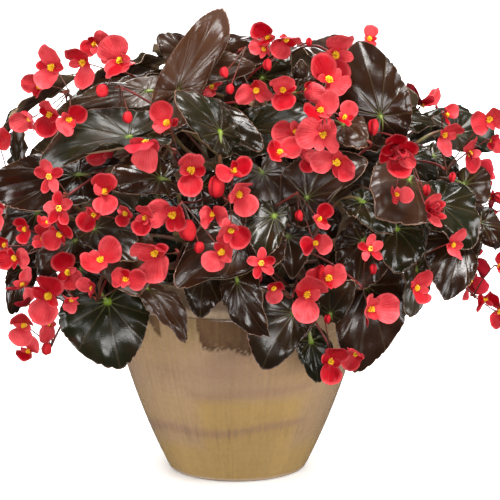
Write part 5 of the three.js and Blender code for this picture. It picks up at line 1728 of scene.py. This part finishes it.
def blade_material():
    w = Look("begonia_blade")
    under, tone, warm, main, fork, edge, near = w.values("under tone warm main fork edge near")
    cloud = w.noise(28, 3)
    # pale veins near the foot, and the bright spot round it
    line = w.math("MAXIMUM", w.step(main, 1.1, 0.3), w.math("MULTIPLY", w.step(fork, 0.9, 0.2), 0.4))
    spot = w.math("MULTIPLY", w.step(near, 5.5, 1.5), w.step(tone, 0.32, 0.22, 0.22, 1.0))
    base = w.coats(
        w.mix(tone, BRONZE_BLACK, BRONZE),
        (w.step(warm, 0.6, 1.0, 0.0, 0.8), RUSSET),
        (w.step(tone, 0.6, 0.1, 0.0, 0.6), BLACK_GREEN),
        (w.step(cloud, 0.4, 0.75, 0.0, 0.4), UMBER),
        (w.step(main, 0.2, 1.3, 0.35, 0.0), DUSTY_VEIN),
        (w.math("MULTIPLY", line, w.step(near, 20.0, 4.0, 0.06, 0.5)), GREEN_VEIN),
        (spot, BRIGHT_GREEN),
        (w.step(edge, 0.984, 0.997, 0.0, w.step(cloud, 0.35, 0.6, 0.45, 1.0)), PINK_EDGE),
    )
    # underside: maroon brown to olive tan, with raised pale veins
    below = w.coats(
        w.mix(tone, MAROON, OLIVE_TAN),
        (w.step(cloud, 0.4, 0.7, 0.0, 0.5), DARK_MAROON),
        (w.math("MULTIPLY", line, 0.7), TAN_VEIN),
        (w.step(edge, 0.55, 0.8, 0.0, 0.8), PALE_TAN),
    )
    rough = w.math("ADD", w.step(w.noise(60, 4), 0.3, 0.75, 0.15, 0.27), w.step(warm, 0.25, 0.6, 0.0, 0.10))
    net = w.step(w.cells(360, "DISTANCE_TO_EDGE"), 0.0, 0.32)
    fine = w.math("ADD", w.math("MULTIPLY", net, 0.5), w.math("MULTIPLY", w.noise(900, 2), 0.5))
    return w.finish({
        "Base Color": w.mix(under, base, below),
        "Roughness": w.step(under, 0.0, 1.0, rough, 0.55),
        "Normal": w.bump(fine, 0.18, 0.0005),
        "IOR": 1.42,
    })


# Stalk colours
YOUNG_GREEN = (0.13, 0.13, 0.035)
YOUNG_BROWN = (0.16, 0.075, 0.035)
STALK_RED = (0.12, 0.04, 0.025)
STALK_GREEN = (0.20, 0.27, 0.05)
CANE_BROWN = (0.10, 0.055, 0.03)
CANE_GREEN = (0.14, 0.12, 0.05)
CANE_SCAR = (0.30, 0.24, 0.17)
SPRAY_RED = (0.20, 0.010, 0.012)
SPRAY_DARK = (0.12, 0.016, 0.010)
SPRAY_BROWN = (0.075, 0.024, 0.012)
HAIR_TAN = (0.32, 0.16, 0.10)
BRACT_RED = (0.36, 0.07, 0.05)


def stalk_material():
    """Leaf stalks, canes, hairs, red spray stalks and bracts, which are kinds 0 to 4."""
    w = Look("begonia_stalk")
    kind, along, tone = w.values("kind along tone")
    cloud = w.noise(70, 4)
    petioles = w.coats(
        w.mix(tone, YOUNG_GREEN, YOUNG_BROWN),
        (w.step(cloud, 0.35, 0.65), STALK_RED),
        (w.step(along, 0.80, 1.0), STALK_GREEN),
    )
    canes_look = w.mix(w.step(cloud, 0.35, 0.7), CANE_BROWN, CANE_GREEN)
    canes_look = w.mix(w.step(w.noise(320, 3), 0.58, 0.68), canes_look, CANE_SCAR)
    red = w.mix(w.step(cloud, 0.3, 0.7), SPRAY_RED, SPRAY_DARK)
    red = w.mix(w.step(along, 0.9, 0.2), red, SPRAY_BROWN)
    kinds = enumerate((canes_look, HAIR_TAN, red, BRACT_RED))
    colour = w.coats(petioles, *[(w.step(kind, n + 0.2, n + 0.8), look) for n, look in kinds])
    ridges = w.noise(260, 3, 0.5, (1.0, 1.0, 0.18))
    return w.finish({
        "Base Color": colour,
        "Roughness": w.step(cloud, 0.3, 0.7, 0.32, 0.5),
        "Normal": w.bump(ridges, 0.3, 0.0006),
        "Subsurface Weight": 0.08,
        "Subsurface Radius": (0.004, 0.0015, 0.001),
    })


# Petal colours
CORAL_RED = (0.34, 0.001, 0.007)
CORAL_PINK = (0.70, 0.078, 0.090)
CLOUD_RED = (0.42, 0.003, 0.012)
RIB_RED = (0.36, 0.002, 0.010)
RIM_PINK = (0.82, 0.16, 0.17)
THROAT_SHADE_RED = (0.40, 0.003, 0.013)
BACK_DARK = (0.30, 0.006, 0.016)
BACK_RED = (0.42, 0.012, 0.026)
BUD_RED = (0.60, 0.020, 0.028)
BUD_DARK = (0.38, 0.008, 0.016)
WING_GREEN = (0.42, 0.40, 0.12)
WING_RED = (0.72, 0.16, 0.10)


def petal_material():
    """Petals, with buds, whose whorl is 2, and ovaries' wings, whose whorl is 3."""
    w = Look("begonia_petal")
    out, rim, rib, tone, whorl, under = w.values("out rim rib tone whorl under")
    cloud = w.noise(80, 3)
    colour = w.coats(
        w.mix(w.step(tone, 0.15, 0.85), CORAL_RED, CORAL_PINK),
        (w.step(cloud, 0.35, 0.7, 0.0, 0.5), CLOUD_RED),
        (w.step(rib, 0.2, 1.0, 0.0, w.step(out, 0.7, 0.2, 0.3, 0.6)), RIB_RED),
        (w.step(rim, 0.70, 1.0, 0.0, 0.35), RIM_PINK),
        # painted shade: a deeper red towards each petal's foot, round the bloom's middle
        (w.step(out, 0.42, 0.10, 0.0, 0.75), THROAT_SHADE_RED),
        (w.math("MULTIPLY", under, 0.8), w.mix(w.step(out, 0.2, 0.8), BACK_DARK, BACK_RED)),
        (w.step(whorl, 1.2, 1.8), w.mix(w.step(rim, 0.3, 1.0), BUD_RED, BUD_DARK)),
        (w.step(whorl, 2.2, 2.8), w.mix(rim, WING_GREEN, WING_RED)),
    )
    grain = w.math("ADD", w.math("MULTIPLY", rib, 0.3), w.math("MULTIPLY", w.noise(260, 4), 2.2))
    return w.finish({
        "Base Color": colour,
        "Roughness": w.step(cloud, 0.3, 0.7, 0.42, 0.58),
        "Normal": w.bump(grain, 0.34, 0.0005),
        "Subsurface Weight": 0.1,
        "Subsurface Radius": (0.006, 0.0015, 0.001),
        "IOR": 1.3,
        "Specular IOR Level": 0.25,
    })


# Stamens, and the styles of a star, which are kind 1
STAMEN_GOLD = (0.95, 0.56, 0.01)
STAMEN_YELLOW = (0.98, 0.74, 0.03)
FILAMENT = (0.80, 0.62, 0.22)
STYLE_GOLD = (0.93, 0.58, 0.05)
STYLE_ORANGE = (0.90, 0.52, 0.05)
POLLEN = (0.85, 0.30, 0.01)


def tuft_material():
    w = Look("begonia_stamens")
    along, tone, kind = w.values("along tone kind")
    colour = w.coats(
        w.mix(tone, STAMEN_GOLD, STAMEN_YELLOW),
        (w.step(along, 0.45, 0.1), FILAMENT),
        (w.step(kind, 0.4, 0.6), w.mix(w.step(tone, 0.395, 0.405), STYLE_GOLD, STYLE_ORANGE)),
        (w.step(w.noise(900, 2), 0.5, 0.7, 0.0, 0.4), POLLEN),
    )
    return w.finish({
        "Base Color": colour,
        "Roughness": w.step(w.noise(500, 2), 0.3, 0.7, 0.45, 0.65),
        "Normal": w.bump(w.noise(1800, 2), 0.3, 0.0003),
    })


GLAZE_SPECK = (0.10, 0.07, 0.05)
GLAZE_STREAK = (0.27, 0.17, 0.07)
GLAZE_PIT = (0.06, 0.035, 0.02)


def glaze_material():
    w = Look("stoneware_glaze")
    tint = w.node("Attribute", "Color", {}, attribute_name="tint")
    bare = w.values("bare")[0]
    colour = w.coats(
        tint,
        (w.step(w.noise(420, 4, 0.6), 0.58, 0.72, 0.0, 0.35), GLAZE_SPECK),
        (w.step(w.noise(240, 3, 0.55, (1.0, 1.0, 0.05)), 0.50, 0.68, 0.0, 0.22), GLAZE_STREAK),
        (w.step(w.cells(700, "F1"), 0.10, 0.02, 0.0, 0.45), GLAZE_PIT),
    )
    gloss = w.step(w.noise(90, 4), 0.3, 0.7, 0.20, 0.34)
    fine = w.math("ADD", w.noise(500, 3), w.math("MULTIPLY", w.noise(60, 2), 1.2))
    return w.finish({
        "Base Color": colour,
        "Roughness": w.step(bare, 0.0, 1.0, gloss, 0.8),
        "Normal": w.bump(fine, 0.06, 0.0005),
        "IOR": 1.5,
    })


SOIL_BLACK = (0.012, 0.008, 0.005)
SOIL_BROWN = (0.060, 0.038, 0.022)
PERLITE = (0.50, 0.45, 0.38)
MOSS_DARK = (0.020, 0.035, 0.008)
MOSS_GREEN = (0.09, 0.12, 0.02)


def soil_material():
    w = Look("dark_soil")
    moss, tone = w.values("moss tone")
    grit = w.noise(500, 5, 0.7)
    colour = w.coats(
        w.mix(grit, SOIL_BLACK, SOIL_BROWN),
        (w.step(tone, 0.7, 1.0), PERLITE),
        (w.math("MULTIPLY", moss, w.step(grit, 0.35, 0.6)), w.mix(w.noise(800, 3), MOSS_DARK, MOSS_GREEN)),
    )
    return w.finish({
        "Base Color": colour,
        "Roughness": w.step(grit, 0.3, 0.7, 0.75, 0.95),
        "Normal": w.bump(grit, 0.7, 0.0016),
    })


# ---- The whole plant ----

# Small leaves deep among the stems, seen through the gaps between the others: as LEAVES, but set further back
INNER_LEAVES = [
    (-45, 335, -36, 284, 70, 5, 0, 1),
    (-75, 330, -60, 282, 60, 5, 0, -1),
    (20, 335, 34, 292, 60, 6, 0, 1),
    (0, 300, -20, 250, 60, 5, 0, -1),
    (-30, 262, -70, 236, 56, 4, 0, 1),
    (140, 372, 168, 330, 60, 5, 0, 1),
    (235, 372, 262, 340, 50, 4, 0, -1),
    (120, 262, 128, 214, 60, 4, 0, 1),
    (60, 372, 40, 330, 60, 6, 0, -1),
    (30, 466, 62, 498, 56, 5, 0, 1),
    (48, 398, 84, 368, 56, 4, 0, 1),
    (112, 396, 150, 364, 56, 4, 0, -1),
    (200, 366, 236, 336, 56, 4, 0, 1),
    (-168, 236, -152, 194, 54, 3, 0, -1),
    (-20, 318, -60, 300, 60, 8, 0, 1),
    (88, 302, 112, 268, 56, 4, 0, 1),
    (-45, 402, -95, 372, 64, 4, 0, 1),
    (-100, 395, -60, 366, 60, 6, 0, -1),
    (-5, 454, -44, 430, 50, 4, 0, 1),
    (8, 354, -20, 318, 54, 5, 0, -1),
    (216, 372, 244, 346, 50, 5, 0, 1),
    (-78, 412, -36, 376, 58, 4, 0, 1),
]
INNER_ROOM = 0.45  # share of its usual room that an inner leaf needs
INNER_SLIDES = (0, 10, -10, 20, 30, -20, 40, 50, 60, 75, 90, 105, 120, 140, 160, 180, 200)
INNER_PLACES = [t / 9 for t in range(2, 9)]  # where the stalks of inner leaves may leave a cane


def place_inner_leaf(leaf_row, k):
    """Sets a leaf where there is just room for it, on the nearest cane."""
    for slide in INNER_SLIDES:
        leaf = leaf_of_row(leaf_row, slide, 0, 1, k, False)
        beads = leaf_beads(leaf)
        if not clear([(at, INNER_ROOM * room) for at, room in beads]):
            continue
        foot = leaf["foot"]
        starts = [(index, cane_point(cane, t)) for index, cane in enumerate(canes) for t in INNER_PLACES]
        index, start = min(starts, key=lambda place: size(sub(place[1], foot)))
        far = size(sub(foot, start))
        knee = total(foot, mul(leaf["along"], -STALK_RUN * far), mul(leaf["out"], -STALK_DROP * far))
        claim(beads, "blade")
        leaves.append({**leaf, "stalk": {"start": start, "knee": knee}, "cane": index})
        return


for number, leaf_row in enumerate(INNER_LEAVES):
    place_inner_leaf(leaf_row, 900 + number)

# Smaller blooms beside the others on the same fork, half behind their petals
YOUNG_SHARE = 0.55
YOUNG_TRIES = 9
YOUNG_OUT = 8  # how much further from the plant's heart than its neighbour a young bloom may stand
YOUNG_BEHIND = (4, 9)
YOUNG_LENGTH = (0.7, 0.9)  # as a share of its neighbour's
YOUNG_ROOM = 0.6
LEAST_NEIGHBOUR = 24  # length of the petals
HEART = (0, 0, 330)


def young_bloom(bloom, fork, k, turn):
    """A young bloom at one side of another, with its stalk's end, or None where there is no room."""
    aside = turned(bloom["first"], bloom["second"], turn)[0]
    back = mul(bloom["facing"], -between(*YOUNG_BEHIND, k, 123))
    middle = total(bloom["middle"], mul(aside, 0.98 * bloom["length"]), back)
    if size(sub(middle, HEART)) > size(sub(bloom["middle"], HEART)) + YOUNG_OUT:
        return None
    facing = unit(total(bloom["facing"], mul(aside, between(0.15, 0.6, k, 124))))
    length = bloom["length"] * between(*YOUNG_LENGTH, k, 125)
    young = make_bloom("pair", middle, facing, length, 360 * chance(k, 126), k)
    end = add(middle, mul(facing, -RECEPTACLE))
    twig = stalk_beads(fork, mix(fork, end, 0.5), end, BLOOM_STALK_RADIUS)[3:]
    beads = [
        (at, YOUNG_ROOM * room) for at, room in bloom_beads(young)
        if size(sub(at, bloom["middle"])) > 1.1 * bloom["length"]
    ]
    if not clear(beads + twig):
        return None
    claim(beads, "bloom")
    return young, end


def add_young(spray, number):
    """Opens a young bloom beside some of a spray's blooms, where nothing else stands."""
    for n, bloom in enumerate(list(spray["blooms"])):
        k = 300 + 10 * number + n
        if bloom["kind"] == "bud" or bloom["length"] < LEAST_NEIGHBOUR or chance(k, 121) > YOUNG_SHARE:
            continue
        for t in range(YOUNG_TRIES):
            found = young_bloom(bloom, spray["fork"], k, 2 * math.pi * (chance(k, 122) + t / YOUNG_TRIES))
            if found:
                spray["blooms"].append(found[0])
                spray["ends"].append(found[1])
                break


for number, spray in enumerate(sprays):
    add_young(spray, number)

blade_look, stalk_look = blade_material(), stalk_material()
petal_look, tuft_look = petal_material(), tuft_material()

make_pot(glaze_material())
make_soil(soil_material())

for index, cane in enumerate(canes):
    node = "leafy_stem_%02d" % (index + 1)
    blades, stems = Heap(), Heap()
    cane_mesh(stems, cane, index)
    for leaf in leaves:
        if leaf["cane"] == index:
            blade_mesh(blades, leaf)
            petiole(stems, leaf)
    stems.make("stalks_of_stem_%02d" % (index + 1), stalk_look, [node], "leaf")
    if blades.count:
        blades.make("blades_of_stem_%02d" % (index + 1), blade_look, [node], "leaf")

for index, spray in enumerate(sprays):
    node = "spray_%02d" % (index + 1)
    petals, tufts, stems = Heap(), Heap(), Heap()
    spray_stalks_mesh(stems, spray)
    for bloom in map(nodding, spray["blooms"]):
        if bloom["kind"] == "bud":
            bud_mesh(petals, bloom)
            continue
        bloom_petals(petals, bloom)
        if bloom["kind"] == "star":
            stigma_tuft(tufts, bloom)
            ovary(petals, stems, bloom)
        elif bloom["kind"] == "pair":
            stamen_tuft(tufts, bloom)
    petals.make("petals_of_spray_%02d" % (index + 1), petal_look, [node], "bloom")
    stems.make("stalks_of_spray_%02d" % (index + 1), stalk_look, [node], "bloom")
    if tufts.count:
        tufts.make("stamens_of_spray_%02d" % (index + 1), tuft_look, [node], "bloom")


# ---- Floor, light and camera, in metres but for the floor's rings ----

FLOOR_RADII = (0.001, 50, 70, 76, 82, 88, 95, 103, 112, 122, 135, 150, 170, 200, 300, 1000, 20000)
FLOOR_COLUMNS = 72
FLOOR_GAP = 0.0004
NEAR_GLOW = 0.62
SHADOW_FROM = 78
SHADOW_FADE = 18
WHITE = (1, 1, 1)
LIGHTS = [
    # name, place, aim, width, height, power, colour
    ("key", (0.35, -1.0, 2.6), (0, 0, 0.35), 1.2, 0.9, 100, (1, 0.985, 0.96)),
    ("front", (-1.6, -2.8, 1.5), (0, 0, 0.25), 0.8, 1.2, 18, (0.97, 0.98, 1)),
    ("low", (0.5, -3.0, 0.5), (0, 0, 0.15), 2.2, 0.6, 72, (1, 0.99, 0.97)),
    ("back", (-0.3, 3.0, 0.9), (0, 0, 0.2), 2.4, 0.9, 46, WHITE),
    ("top", (-0.5, 0.6, 2.5), (0, 0, 0.3), 1.2, 0.8, 30, WHITE),
    ("card_left", (-2.3, -0.3, 0.4), (0, 0, 0.2), 1.6, 0.9, 42, WHITE),
    ("card_right", (2.3, -0.3, 0.4), (0, 0, 0.2), 1.6, 0.9, 38, WHITE),
]
SKY_POWER = 0.3
SKY_SPREAD = 70
SKY_TILT = (-12, 16)
WORLD_GLOW = 0.09
LENS = 258
SENSOR = 36


def link(name, data):
    """A new object of the scene."""
    made = bpy.data.objects.new(name, data)
    bpy.context.scene.collection.objects.link(made)
    return made


def towards(place, aim):
    """The rotation of a lamp or camera that looks from a place at an aim."""
    return (Vector(aim) - Vector(place)).to_track_quat("-Z", "Y").to_euler()


def make_floor():
    """A pale floor that glows, with a soft painted shadow round the pot's foot, where its glow is dimmed."""
    far, turn = polar(row(FLOOR_RADII), FLOOR_COLUMNS)
    spots = np.stack([far * np.cos(turn), far * np.sin(turn), 0 * far], -1).reshape(-1, 3) / 1000
    mesh = bpy.data.meshes.new("floor")
    mesh.from_pydata(spots.tolist(), [], grid_faces(*far.shape, True)[:, ::-1].tolist())
    # painted shadow: the glow is dimmed near the pot's foot, most towards its left
    shadow = np.exp(-np.clip(far - SHADOW_FROM, 0, None) / SHADOW_FADE)
    shadow = shadow * (0.4 + 0.6 * np.clip(-np.cos(turn - 0.35), 0, 1))
    glow = np.where(far < 500, NEAR_GLOW * (1 - shadow), 1.0)
    mesh.attributes.new("glow", "FLOAT", "POINT").data.foreach_set("value", glow.reshape(-1))
    floor = link("floor", mesh)
    floor.location.z = -FLOOR_GAP
    floor.visible_diffuse = False
    floor.visible_glossy = False
    w = Look("pale_floor")
    mesh.materials.append(w.finish({
        "Base Color": (0.93, 0.935, 0.945),
        "Roughness": 0.9,
        "Emission Color": WHITE,
        "Emission Strength": w.values("glow")[0],
    }))


make_floor()
for name, place, aim, width, height, power, colour in LIGHTS:
    light = bpy.data.lights.new(name, "AREA")
    light.shape = "RECTANGLE"
    light.size, light.size_y = width, height
    light.energy, light.color = power, colour
    lamp = link(name, light)
    lamp.location = place
    lamp.rotation_euler = towards(place, aim)

sun = bpy.data.lights.new("sky", "SUN")
sun.energy = SKY_POWER
sun.angle = SKY_SPREAD * DEGREE
sky = link("sky", sun)
sky.location = (0, 0, 3)
sky.rotation_euler = (SKY_TILT[0] * DEGREE, SKY_TILT[1] * DEGREE, 0)

world = bpy.data.worlds.new("studio")
bpy.context.scene.world = world
world.use_nodes = True
background = world.node_tree.nodes["Background"].inputs
background["Color"].default_value = (*WHITE, 1)
background["Strength"].default_value = WORLD_GLOW
bpy.context.scene.view_settings.view_transform = "Standard"

lens = bpy.data.cameras.new("camera")
lens.lens = LENS
lens.sensor_width = SENSOR
eye = link("camera", lens)
aim = Vector(AIM) / 1000
eye.location = aim + Vector(TO_EYE) * (EYE_DISTANCE / 1000)
eye.rotation_euler = towards(eye.location, aim)
bpy.context.scene.camera = eye
